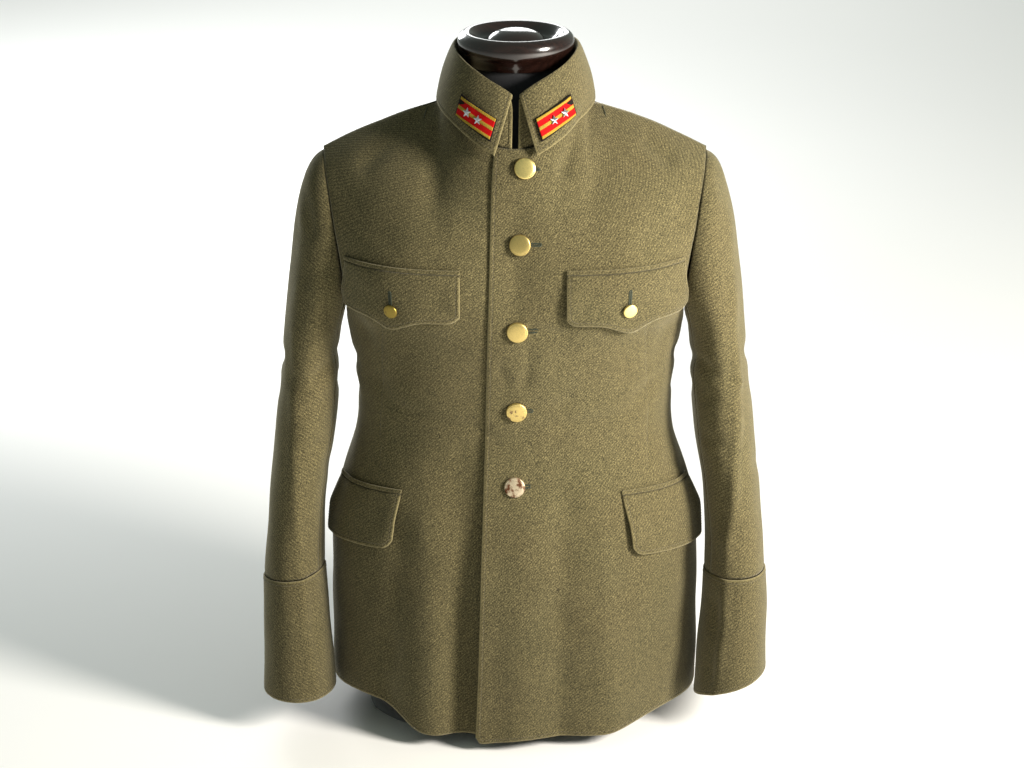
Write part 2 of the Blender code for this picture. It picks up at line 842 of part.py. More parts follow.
def build_sleeves(panels, cloth, collection):
    for side, word in SIDE_NAMES.items():
        grid = sleeve_grid(panels, side)
        normals = sleeve_normals(grid, side)
        count = len(grid[0])
        upper = [k % count for k in range(HIND_SEAM_COLUMN, count + FORE_SEAM_COLUMN + 1)]
        under = list(range(FORE_SEAM_COLUMN, HIND_SEAM_COLUMN + 1))
        for piece, columns in (("upper", upper), ("under", under)):
            part = [[line[k] for k in columns] for line in grid]
            directions = [[line[k] for k in columns] for line in normals]
            edges = [("first", len(part)), ("last", len(part))]
            part = pull_in(part, directions, edges, HALF_SEAM)
            inner = moved(part, directions, -CLOTH)
            falling = side == RIGHT
            wall(f"sleeve_{piece}_{word}", part, inner, cloth, collection, falling=falling)
        build_cuff(side, count, cloth, collection)


def build_cuff(side, count, cloth, collection):
    angles = [math.tau * k / count for k in range(count)]
    grid = [[sleeve_ring_point(ring, side, a) for a in angles] for ring in CUFF_RINGS]
    normals = sleeve_normals(grid, side)
    inner = moved(grid, normals, -COLLAR_CLOTH)
    name = "cuff_" + SIDE_NAMES[side]
    wall(name, grid, inner, cloth, collection, closed=True, falling=side == RIGHT)


def collar_point(angle, half_width, front, back, height):
    x, y = oval(angle, half_width, front if math.cos(angle) > 0 else back, 2.0)
    return Vector((x + COLLAR_SHIFT, y, height))


def fold_point(angle):
    fold, _ = read_table(COLLAR_LEVELS, "angle", abs(math.degrees(angle)))
    return collar_point(angle, FOLD_HALF_WIDTH, FOLD_FRONT, FOLD_BACK, fold)


def fall_edge_point(angle):
    _, lower = read_table(COLLAR_LEVELS, "angle", abs(math.degrees(angle)))
    return collar_point(angle, FALL_HALF_WIDTH, FALL_FRONT, FALL_BACK, lower)


def neck_stations():
    """Points of the neck seam from the left front end round the back to the right one."""
    edge = lap_edge(2.0)
    shares = [STAND_END, LAP_COLUMN, edge, (edge + SHARED_COLUMNS[0]) / 2]
    shares += [u for u in SHARED_COLUMNS if u <= NECK_SHARE]
    half = [neckline(FRONT, u / NECK_SHARE * math.pi / 2) for u in shares]
    behind = [0.0, SHARED_COLUMNS[0] / 2] + [u for u in SHARED_COLUMNS if u < NECK_SHARE]
    half += [neckline(BACK, u / NECK_SHARE * math.pi / 2) for u in reversed(behind)]
    other = [Vector((-p.x, p.y, p.z)) for p in reversed(half[:-1])]
    return half + other


def polar(point):
    """The angle of a point round the middle, from the front towards +X."""
    return math.atan2(point.x, -point.y)


def opened(angle, gap_degrees):
    """An angle moved round so that the leaves' ends stand apart by twice the gap."""
    gap = math.radians(gap_degrees)
    return math.copysign(gap + abs(angle) * (math.pi - gap) / math.pi, angle)


def collar_fall_grid():
    """The fall from inside its roll, over the fold and down to the lower edge."""
    columns = []
    for station in neck_stations():
        angle = polar(station)
        fold = fold_point(opened(angle, LEAF_GAP_TOP))
        edge = fall_edge_point(opened(angle, LEAF_GAP_LOW))
        out = Vector((fold.x - COLLAR_SHIFT, fold.y, 0)).normalized()
        up = Vector((0, 0, 1))
        inside = fold - out * ROLL_OUT - up * ROLL_DOWN
        column = [fold - out * ROLL - up * ROLL_DEPTH, inside, fold]
        start = fold + out * ROLL_OUT - up * ROLL_DOWN
        for step in range(FALL_STEPS + 1):
            share = step / FALL_STEPS
            belly = FALL_BELLY * math.sin(math.pi * share)
            column.append(start.lerp(edge, share) + out * belly)
        columns.append(column)
    return [[column[i] for column in columns] for i in range(len(columns[0]))]


def fall_normals(grid):
    """Directions out of the roll: from the inner side of the fold over to the outer."""
    normals = normals_of(grid)
    for line in normals[3:]:
        total = sum(n.dot(Vector((p.x, p.y, 0))) for n, p in zip(line, grid[3]))
        if total < 0:
            return [[-n for n in row] for row in normals]
    return normals


def build_collar(cloth, collection):
    grid = collar_fall_grid()
    normals = fall_normals(grid)
    fall = wall("collar_fall", grid, moved(grid, normals, -CLOTH), cloth, collection)
    stand = []
    for share in (0.0, 0.5, 1.0):
        line = []
        for station in neck_stations():
            foot = station + Vector((0, 0, SEAM))
            fold = fold_point(polar(station))
            inward = Vector((fold.x - COLLAR_SHIFT, fold.y, 0)).normalized()
            top = fold - inward * (ROLL - COLLAR_CLOTH) - Vector((0, 0, ROLL_DEPTH + 2 * SEAM))
            line.append(foot.lerp(top, share))
        stand.append(line)
    normals = turned_away(normals_of(stand), stand, Vector((0, 0, 0.70)))
    wall("collar_stand", stand, moved(stand, normals, -COLLAR_CLOTH), cloth, collection)
    return grid[3:], fall_normals(grid)[3:], tree_of(fall.data)


def locate(side, across, height):
    """The share and row of the front at which it passes a distance across and a height."""
    share, row = 0.5, 1.3
    small = 1e-4
    for _ in range(SEARCH_STEPS):
        here = on_body(FRONT, share, row)
        by_share = (on_body(FRONT, share + small, row) - here) / small
        by_row = (on_body(FRONT, share, row + small) - here) / small
        miss_x, miss_z = across - here.x, height - here.z
        scale = by_share.x * by_row.z - by_row.x * by_share.z
        share += (miss_x * by_row.z - miss_z * by_row.x) / scale
        row += (by_share.x * miss_z - by_share.z * miss_x) / scale
        share = min(0.999, max(0.02, share))
        row = min(1.98, max(1.0001, row))
    return share, row


def surface_at(side, share, row):
    """A point of the front and the direction out of it."""
    small = 1e-3
    point = on_body(FRONT, side * share, row)
    by_share = on_body(FRONT, side * (share + small), row) - point
    by_row = on_body(FRONT, side * share, row + small) - point
    normal = by_share.cross(by_row).normalized() * side
    if normal.dot(point - BODY_MIDDLE) < 0:
        normal = -normal
    if side == LEFT:
        point = point + normal * lap_lift(point)
    return point, normal


def rounded_end(across, half, corner):
    """How much shorter a flap is near its end, for a rounded corner."""
    into = abs(across) - (half - corner)
    if into <= 0:
        return 0.0
    return corner - math.sqrt(max(0.0, corner**2 - into**2))


def flap_fractions():
    """Shares across a flap, closer together at both ends."""
    spread = [-math.cos(math.pi * k / FLAP_COLUMNS) for k in range(FLAP_COLUMNS + 1)]
    even = [2 * k / FLAP_COLUMNS - 1 for k in range(FLAP_COLUMNS + 1)]
    return [END_CROWDING * s + (1 - END_CROWDING) * e for s, e in zip(spread, even)]


def breast_flap(side, tree):
    """Grids of a breast flap and its welt, as points and directions."""
    cut = BREAST[side]
    flap, flap_normals, welt, welt_normals = [], [], [], []
    for fraction in flap_fractions():
        across = cut.centre + (fraction + cut.point_at * (1 - fraction**2)) * cut.half
        near_point = max(0.0, 1 - abs(fraction) / BREAST_POINT_REACH)
        point_drop = BREAST_POINT * near_point**BREAST_POINT_POWER
        drop = cut.flank + point_drop
        drop -= rounded_end(across - cut.centre, cut.half, BREAST_CORNER)
        column, directions = [], []
        for k in range(FLAP_ROWS + 1):
            share, row = locate(side, across, BREAST_TOP - drop * k / FLAP_ROWS)
            point, normal = surface_at(side, share, row)
            column.append(seated(tree, point, normal))
            directions.append(normal)
        flap.append(column)
        flap_normals.append(directions)
        column, directions = [], []
        for rise in (LYING, LYING + WELT_HEIGHT):
            share, row = locate(side, across, BREAST_TOP + rise)
            point, normal = surface_at(side, share, row)
            column.append(seated(tree, point, normal))
            directions.append(normal)
        welt.append(column)
        welt_normals.append(directions)
    return flap, flap_normals, welt, welt_normals


def lower_flap(side, tree):
    """Grids of a slanted lower flap and its welt, as points and directions."""
    cut = LOWER[side]
    half = math.radians(cut.outer - cut.inner) / 2
    middle = math.radians(cut.outer + cut.inner) / 2
    half_length = half * LOWER_RADIUS
    flap, flap_normals, welt, welt_normals = [], [], [], []
    for fraction in flap_fractions():
        share = (middle + fraction * half) / SIDE_SEAM_ANGLE
        tilt = (fraction + 1) / 2
        top = LOWER_TOP_INNER + (LOWER_TOP_OUTER - LOWER_TOP_INNER) * tilt
        drop = cut.depth_inner + (cut.depth_outer - cut.depth_inner) * tilt
        drop -= rounded_end(fraction * half_length, half_length, LOWER_CORNER)
        pairs = [surface_at(side, share, top - drop * k / FLAP_ROWS) for k in range(FLAP_ROWS + 1)]
        flap.append([seated(tree, point, normal) for point, normal in pairs])
        flap_normals.append([normal for _, normal in pairs])
        pairs = [surface_at(side, share, top + rise) for rise in (LYING, LYING + WELT_HEIGHT)]
        welt.append([seated(tree, point, normal) for point, normal in pairs])
        welt_normals.append([normal for _, normal in pairs])
    return flap, flap_normals, welt, welt_normals


def build_pockets(fronts, cloth, collection):
    flap_trees = {}
    for side, word in SIDE_NAMES.items():
        for place, shape in (("breast", breast_flap), ("lower", lower_flap)):
            flap, flap_normals, welt, welt_normals = shape(side, fronts[side])
            falling = side == RIGHT
            under = laid_on(fronts[side], flap, flap_normals, LYING, falling)
            over = moved(under, flap_normals, FLAP_CLOTH)
            name = f"{place}_flap_{word}"
            obj = wall(name, over, under, cloth, collection, falling=falling)
            if place == "breast":
                flap_trees[side] = tree_of(obj.data)
            under = laid_on(fronts[side], welt, welt_normals, LYING, falling)
            over = moved(under, welt_normals, CLOTH)
            wall(f"{place}_welt_{word}", over, under, cloth, collection, falling=falling)
    return flap_trees


def turned_object(name, profile, sides, material, collection):
    """A solid of revolution from a profile of (radius, height), top to bottom."""
    bm = bmesh.new()
    verts = [bm.verts.new((radius, 0, height)) for radius, height in profile]
    for start, end in zip(verts, verts[1:]):
        bm.edges.new((start, end))
    mesh = bpy.data.meshes.new(name)
    bm.to_mesh(mesh)
    bm.free()
    obj = bpy.data.objects.new(name, mesh)
    mesh.materials.append(material)
    collection.objects.link(obj)
    screw = obj.modifiers.new("Turn", "SCREW")
    screw.steps = sides
    screw.render_steps = sides
    screw.use_merge_vertices = True
    screw.merge_threshold = 1e-5
    screw.use_smooth_shade = True
    return obj


def button_profile(radius):
    """A domed cap with a rolled rim on a flat back, top to bottom."""
    return (
        (0.0, radius * 0.46),
        (radius * 0.50, radius * 0.41),
        (radius * 0.84, radius * 0.27),
        (radius * 0.97, radius * 0.17),
        (radius, radius * 0.08),
        (radius * 0.90, 0.0),
        (0.0, 0.0),
    )


def facing(point, normal):
    """A placement at a point with +Z along the direction out of the surface."""
    return Matrix.Translation(point) @ normal.to_track_quat("Z", "Y").to_matrix().to_4x4()


def front_place(across, height):
    """The share and row of the front for a distance across and a height."""
    if height < ARMPIT:
        return share_of_side(FRONT, height, abs(across)), height
    low, high = 1.0001, 1.999
    for _ in range(SEARCH_STEPS):
        row = (low + high) / 2
        share = share_of_side(FRONT, row, abs(across))
        if on_body(FRONT, share, row).z < height:
            low = row
        else:
            high = row
    return share, row


def highest_under(tree, place, radius):
    """How high the cloth comes under a flat-backed round piece, along its own +Z."""
    normal = (place.to_3x3() @ Vector((0, 0, 1))).normalized()
    heights = []
    for share in PROBE_RINGS:
        for k in range(BUTTON_SIDES):
            turn = math.tau * k / BUTTON_SIDES
            spoke = Vector((share * radius * math.cos(turn), share * radius * math.sin(turn), 0))
            probe = place @ spoke
            heights.append((seated(tree, probe, normal) - place.translation).dot(normal))
    return max(heights)


def on_top(tree, point, normal, radius):
    """The placement of a button just clear of the cloth under all of it."""
    rise = highest_under(tree, facing(point, normal), radius)
    return facing(point + normal * (rise + LYING), normal)


def build_buttons(fronts, flaps, brass, collection):
    for number, button in enumerate(FRONT_BUTTONS, start=1):
        profile = button_profile(BUTTON_RADIUS)
        obj = turned_object(f"front_button_{number}", profile, BUTTON_SIDES, brass, collection)
        share, row = front_place(button.across, button.height)
        point, normal = surface_at(LEFT, share, row)
        obj.matrix_world = on_top(fronts[LEFT], point, normal, BUTTON_RADIUS)
    for side, word in SIDE_NAMES.items():
        profile = button_profile(POCKET_BUTTON_RADIUS)
        obj = turned_object(f"pocket_button_{word}", profile, BUTTON_SIDES, brass, collection)
        share, row = locate(side, *POCKET_BUTTONS[side])
        point, normal = surface_at(side, share, row)
        obj.matrix_world = on_top(flaps[side], point, normal, POCKET_BUTTON_RADIUS)


def fall_at(grid, normals, column, down):
    """A point of the fall by its column number and share of its depth, with direction."""
    row = down * FALL_STEPS
    i, j = min(int(row), FALL_STEPS - 1), min(int(column), len(grid[0]) - 2)
    a, b = row - i, column - j
    point, normal = Vector(), Vector()
    corners = ((0, 0, (1 - a) * (1 - b)), (0, 1, (1 - a) * b), (1, 0, a * (1 - b)), (1, 1, a * b))
    for di, dj, weight in corners:
        point += grid[i + di][j + dj] * weight
        normal += normals[i + di][j + dj] * weight
    return point, normal.normalized()


def tab_place(side, along, down):
    """Column number and share of the fall's depth, for shares of a tab's length and height."""
    angles = [abs(math.degrees(polar(p))) for p in neck_stations()]
    wanted = TAB_FROM + (TAB_TO - TAB_FROM) * along
    column = 0
    while angles[column + 1] < wanted:
        column += 1
    column += (wanted - angles[column]) / (angles[column + 1] - angles[column])
    if side == RIGHT:
        column = len(angles) - 1 - column
    return column, TAB_TOP + (TAB_FOOT - TAB_TOP) * down


def build_tabs(grid, normals, tree, felt, silver, collection):
    for side, word in SIDE_NAMES.items():
        points, directions = [], []
        for k in range(TAB_COLUMNS + 1):
            along = k / TAB_COLUMNS
            places = [tab_place(side, along, m / TAB_ROWS) for m in range(TAB_ROWS + 1)]
            pairs = [fall_at(grid, normals, *place) for place in places]
            points.append([point for point, _ in pairs])
            directions.append([normal for _, normal in pairs])
        under = laid_on(tree, points, directions, LYING, falling=side == RIGHT)
        over = moved(under, directions, TAB_CLOTH)
        tab = wall("rank_tab_" + word, over, under, felt, collection, falling=side == RIGHT)
        tab_tree = tree_of(tab.data)
        for number, along in enumerate(STARS_AT, start=1):
            point, normal = fall_at(grid, normals, *tab_place(side, along, 0.5))
            rise = highest_under(tab_tree, upright(point, normal), STAR_RADIUS)
            place = upright(point + normal * (rise + LYING), normal)
            build_star(f"star_{word}_{number}", place, silver, collection)


def build_star(name, place, silver, collection):
    """A plain five-pointed star with a raised middle."""
    bm = bmesh.new()
    ring = []
    for k in range(2 * STAR_POINTS):
        radius = STAR_RADIUS if k % 2 == 0 else STAR_RADIUS * STAR_WAIST
        turn = math.pi / 2 + math.pi * k / STAR_POINTS
        ring.append(bm.verts.new((radius * math.cos(turn), radius * math.sin(turn), 0)))
    base = bm.faces.new(ring)
    raised = bmesh.ops.extrude_face_region(bm, geom=[base])["geom"]
    top = [v for v in raised if isinstance(v, bmesh.types.BMVert)]
    bmesh.ops.translate(bm, verts=top, vec=(0, 0, STAR_THICKNESS))
    face = [f for f in raised if isinstance(f, bmesh.types.BMFace)][0]
    middle = bmesh.ops.poke(bm, faces=[face])["verts"]
    bmesh.ops.translate(bm, verts=middle, vec=(0, 0, STAR_PEAK))
    obj = add_object(name, mesh_from(bm, name), silver, collection)
    obj.matrix_world = place


def upright(point, normal):
    """A placement with +Z out of the surface and +Y as near up as that allows."""
    across = Vector((0, 0, 1)).cross(normal).normalized()
    up = normal.cross(across).normalized()
    turn = Matrix((across, up, normal)).transposed().to_4x4()
    return Matrix.Translation(point) @ turn


def form_inset(row, share_out):
    """How far the form is inside the cloth. It comes up close only under the shoulder seam."""
    if row < 1:
        return read_table(FORM_INSETS, "height", row)[0]
    chest = FORM_INSETS[-1].inside
    near_seam = smooth((row - 1 - FORM_SHOULDER_FROM) / (1 - FORM_SHOULDER_FROM))
    near_seam *= smooth((share_out - NECK_SHARE) / (SHARED_COLUMNS[-5] - NECK_SHARE))
    return chest + (FORM_SHOULDER_INSET - chest) * near_seam


FORM_COLUMNS = (0.0, SHARED_COLUMNS[0] / 2) + SHARED_COLUMNS


def form_side(face, side):
    """Half a face of the torso, inside the cloth by the form's insets."""
    columns = FORM_COLUMNS
    rows = body_rows(FORM_HEIGHTS)
    grid = [[on_body(face, side * u, row, False) for u in columns] for row in rows]
    return grid, rows


def build_form(felt, collection):
    """The padded torso: four quarter faces, rounded arm ends and a neck, all one skin."""
    shapes = {}
    for side in SIDE_NAMES:
        pair = {}
        for face in (FRONT, BACK):
            grid, rows = form_side(face, side)
            normals = turned_away(normals_of(grid), grid, BODY_MIDDLE)
            for line in normals:
                line[0] = Vector((0, line[0].y, line[0].z)).normalized()
            pair[face] = (grid, normals)
        armpit = len(FORM_HEIGHTS) - 1
        for i in range(armpit + 1):
            both = (pair[FRONT][1][i][-1] + pair[BACK][1][i][-1]).normalized()
            pair[FRONT][1][i][-1] = pair[BACK][1][i][-1] = both
        for j in range(1, len(SHARED_COLUMNS) - 2):
            both = (pair[FRONT][1][-1][-j] + pair[BACK][1][-1][-j]).normalized()
            pair[FRONT][1][-1][-j] = pair[BACK][1][-1][-j] = both
        shapes[side] = pair
    bm = bmesh.new()
    necks = {}
    for side, pair in shapes.items():
        skins = {}
        for face, (grid, normals) in pair.items():
            skin = []
            for row, line, directions in zip(rows, grid, normals):
                insets = [form_inset(row, u) for u in FORM_COLUMNS]
                skin.append([p - n * d for p, n, d in zip(line, directions, insets)])
            for point in skin[0]:
                point.z = 0.0
            skins[face] = skin
            add_quads(bm, skin)
        add_quads(bm, arm_end(skins[FRONT], skins[BACK], armpit, side))
        necks[side] = skins
    add_quads(bm, neck_rings(necks))
    bmesh.ops.remove_doubles(bm, verts=bm.verts, dist=2e-5)
    bmesh.ops.holes_fill(bm, edges=[e for e in bm.edges if e.is_boundary], sides=0)
    add_object("form_torso", mesh_from(bm, "form_torso"), felt, collection)


def arm_end(front, back, armpit, side):
    """The rounded end of the form's shoulder, from the front of the armhole to its back."""
    rows = []
    last = len(front) - 1
    for i in range(armpit, last + 1):
        start, end = front[i][-1], back[i][-1]
        rise = math.sin(math.pi * (i - armpit) / (last - armpit))
        line = []
        for k in range(FORM_ARM_COLUMNS + 1):
            share = k / FORM_ARM_COLUMNS
            bulge = FORM_ARM_BULGE * rise * math.sin(math.pi * share)
            line.append(start.lerp(end, share) + Vector((side * bulge, 0, 0)))
        rows.append(line)
    return rows


def neck_rings(necks):
    """The neck from the neck seam up to the cap, as rings round it."""
    around = SHARED_COLUMNS.index(NECK_SHARE) + 2
    left, right = necks[LEFT], necks[RIGHT]
    loop = left[FRONT][-1][: around + 1]
    loop += left[BACK][-1][:around][::-1]
    loop += right[BACK][-1][1 : around + 1]
    loop += right[FRONT][-1][:around][::-1]
    rings = [loop]
    for step in range(1, FORM_NECK_STEPS + 1):
        share = step / FORM_NECK_STEPS
        ring = []
        for point in loop:
            flat = Vector((point.x, point.y, 0)).normalized() * NECK_RADIUS
            end = Vector((flat.x + COLLAR_SHIFT, flat.y, NECK_TOP))
            pull = 1 - (1 - share) ** NECK_PULL
            ring.append(Vector((*point.lerp(end, pull).xy, point.z + (end.z - point.z) * share)))
        rings.append(ring)
    return rings


def add_quads(bm, grid):
    skin = [[bm.verts.new(p) for p in line] for line in grid]
    for i in range(len(grid) - 1):
        for j in range(len(grid[0]) - 1):
            bm.faces.new((skin[i][j], skin[i][j + 1], skin[i + 1][j + 1], skin[i + 1][j]))


def build_cap(lacquer, collection):
    profile = [(row.radius, row.height) for row in CAP_PROFILE]
    obj = turned_object("neck_cap", profile, CAP_SIDES, lacquer, collection)
    obj.matrix_world = Matrix.Translation((COLLAR_SHIFT, 0, SEAM))


def main():
    clear_scene()
    collection = bpy.data.collections.new("military_tunic")
    bpy.context.scene.collection.children.link(collection)
    wool = make_material("tunic_wool", (0.130, 0.110, 0.055), 0.95)
    tab_cloth = make_material("tab_cloth", (0.45, 0.012, 0.014), 0.8)
    brass = make_material("button_brass", (0.62, 0.47, 0.20), 0.35, 1.0)
    silver = make_material("star_metal", (0.72, 0.72, 0.70), 0.3, 1.0)
    jersey = make_material("form_cloth", (0.045, 0.045, 0.052), 0.9)
    lacquer = make_material("cap_lacquer", (0.022, 0.010, 0.007), 0.15)
    panels = body_panels()
    fronts = build_body(panels, wool, collection)
    build_sleeves(panels, wool, collection)
    fall, fall_directions, fall_tree = build_collar(wool, collection)
    flaps = build_pockets(fronts, wool, collection)
    build_buttons(fronts, flaps, brass, collection)
    build_tabs(fall, fall_directions, fall_tree, tab_cloth, silver, collection)
    build_form(jersey, collection)
    build_cap(lacquer, collection)


main()
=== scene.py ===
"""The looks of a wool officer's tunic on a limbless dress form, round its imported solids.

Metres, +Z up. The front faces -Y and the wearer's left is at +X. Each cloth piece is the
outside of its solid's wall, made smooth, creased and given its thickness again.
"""

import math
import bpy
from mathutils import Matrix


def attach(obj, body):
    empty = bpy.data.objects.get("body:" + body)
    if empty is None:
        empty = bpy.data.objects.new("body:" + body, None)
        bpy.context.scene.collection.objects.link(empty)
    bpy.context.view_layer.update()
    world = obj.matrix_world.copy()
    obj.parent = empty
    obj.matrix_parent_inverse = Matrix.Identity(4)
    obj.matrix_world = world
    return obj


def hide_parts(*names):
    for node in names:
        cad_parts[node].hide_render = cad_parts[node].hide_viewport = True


bl_info = {
    "name": "Officer's Tunic",
    "version": (1, 0, 0),
    "blender": (4, 5, 0),
    "location": "3D View > Sidebar > Tunic",
    "description": "Dresses the packed tunic in wool, brass, braid, knitted cloth and lacquer",
    "category": "Object",
}

from collections import namedtuple

import bmesh
import bpy
import numpy as np
from bpy.props import FloatProperty, FloatVectorProperty, PointerProperty
from mathutils import Matrix, Vector
from mathutils.bvhtree import BVHTree
from mathutils.kdtree import KDTree

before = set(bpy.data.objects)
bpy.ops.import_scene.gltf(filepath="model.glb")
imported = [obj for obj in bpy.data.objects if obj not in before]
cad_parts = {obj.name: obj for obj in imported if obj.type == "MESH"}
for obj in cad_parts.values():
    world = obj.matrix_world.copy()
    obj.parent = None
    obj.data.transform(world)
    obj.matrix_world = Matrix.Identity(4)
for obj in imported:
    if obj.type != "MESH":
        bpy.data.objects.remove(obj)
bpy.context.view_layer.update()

MM = 0.001
SIDES = {"left": 1, "right": -1}
MERGE = 0.02 * MM
WALL_EDGE = 2.4 * MM
FAR = 30 * MM


def linear(hex_colour):
    """An sRGB hex colour as linear red, green and blue."""
    found = []
    for start in (1, 3, 5):
        value = int(hex_colour[start : start + 2], 16) / 255
        low = value / 12.92
        found.append(low if value <= 0.04045 else ((value + 0.055) / 1.055) ** 2.4)
    return tuple(found)


def colour_property(name, description, default):
    return FloatVectorProperty(
        name=name,
        description=description,
        subtype="COLOR",
        min=0,
        max=1,
        default=linear(default),
    )


def length_property(name, description, default):
    return FloatProperty(
        name=name, description=description, default=default, subtype="DISTANCE", unit="LENGTH"
    )


class TunicCloth(bpy.types.PropertyGroup):
    """Sizes and colours of the wool and its sewing."""

    wool: colour_property("Wool", "Main colour of the olive-khaki wool", "#554E34")
    brown: colour_property("Brown cast", "Warmer cast of the wool in patches", "#5E4F33")
    green: colour_property("Green cast", "Greener cast of the wool in patches", "#494A30")
    # The light fibre's colour also serves as the painted highlight on the paler edges
    fleck_and_edge_light: colour_property("Light fibre", "Undyed fibre that flecks the yarn", "#8C8059")
    # The dark fibre's colour is also the painted shade in the rib valleys, the seams and the lower
    # skirt
    pepper_and_shade: colour_property("Dark fibre", "Dark fibre in the yarn", "#1E1B10")
    thread: colour_property("Sewing thread", "Thread of the topstitching", "#655B40")
    hole_thread: colour_property("Buttonhole silk", "Thread worked round the holes", "#26301A")
    thickness: length_property("Cloth thickness", "Thickness of one layer of the wool", 1.7 * MM)
    twill_pitch: length_property("Twill pitch", "Distance from rib to rib of the twill", 2.9 * MM)
    stitch_pitch: length_property("Stitch pitch", "Distance from stitch to stitch", 3.2 * MM)
    stitch_inset: length_property("Stitch inset", "Topstitching's distance from the edge", 4.2 * MM)
    crease: FloatProperty(
        name="Creases",
        description="Depth of the hand-placed creases, as a share of the worn tunic's",
        default=1.5,
        min=0,
        max=3,
        subtype="FACTOR",
    )


class TunicTrim(bpy.types.PropertyGroup):
    """Colours of the metal and the rank tabs."""

    brass: colour_property("Brass", "Clean brass of the buttons", "#D9C07A")
    tarnish: colour_property("Tarnish", "Tarnish on the brass", "#543540")
    # Paler brass of the top button and the left breast pocket's button: a painted highlight for their
    # glare
    bright: colour_property("Bright brass", "Brass of the polished top button", "#FFE796")
    dull: colour_property("Dull brass", "Brass of the breast pocket's dark button", "#94803F")
    bare: colour_property("Worn button", "Base metal under the brass of the last button", "#D2C2A6")
    rust: colour_property("Brown stain", "Stain on the last button", "#6B4630")
    silver: colour_property("Silver", "Metal of the rank stars", "#DDE2E8")
    felt: colour_property("Felt", "Scarlet felt of the rank tabs", "#C4060A")
    braid: colour_property("Braid", "Gold braid of the rank tabs", "#B79A3C")
    # Black of the felt under the rank tabs, which also stands in as painted shadow round the tabs
    backing: colour_property("Backing", "Black backing of the rank tabs", "#14110F")


class TunicForm(bpy.types.PropertyGroup):
    """Colours of the dress form."""

    jersey: colour_property("Jersey", "Dark grey knitted cover of the form", "#131318")
    lacquer: colour_property("Lacquer", "Dark lacquered wood of the neck cap", "#160A07")


class TunicStage(bpy.types.PropertyGroup):
    """Camera, light and floor."""

    distance: length_property("Camera distance", "Camera to the middle of the tunic", 2.8)
    target: length_property("Camera target", "Height that the camera looks at", 0.3697)
    across: length_property("Camera across", "Camera's place to the side", -0.003)
    pitch: FloatProperty(
        name="Camera pitch",
        description="How far the camera looks down",
        default=math.radians(20),
        subtype="ANGLE",
        unit="ROTATION",
    )
    lens: FloatProperty(
        name="Lens", description="Focal length on a 36 mm sensor", default=91.4, unit="CAMERA"
    )
    key: FloatProperty(name="Key light", description="Watts of the key light", default=375)
    rear: FloatProperty(name="Rear light", description="Watts of the light behind", default=120)
    far: FloatProperty(name="Far light", description="Watts of the far floor's light", default=90)
    fill: FloatProperty(name="Fill light", description="Strength of the even light", default=0.27)
    floor: colour_property("Floor", "Pale floor", "#F4F3F1")


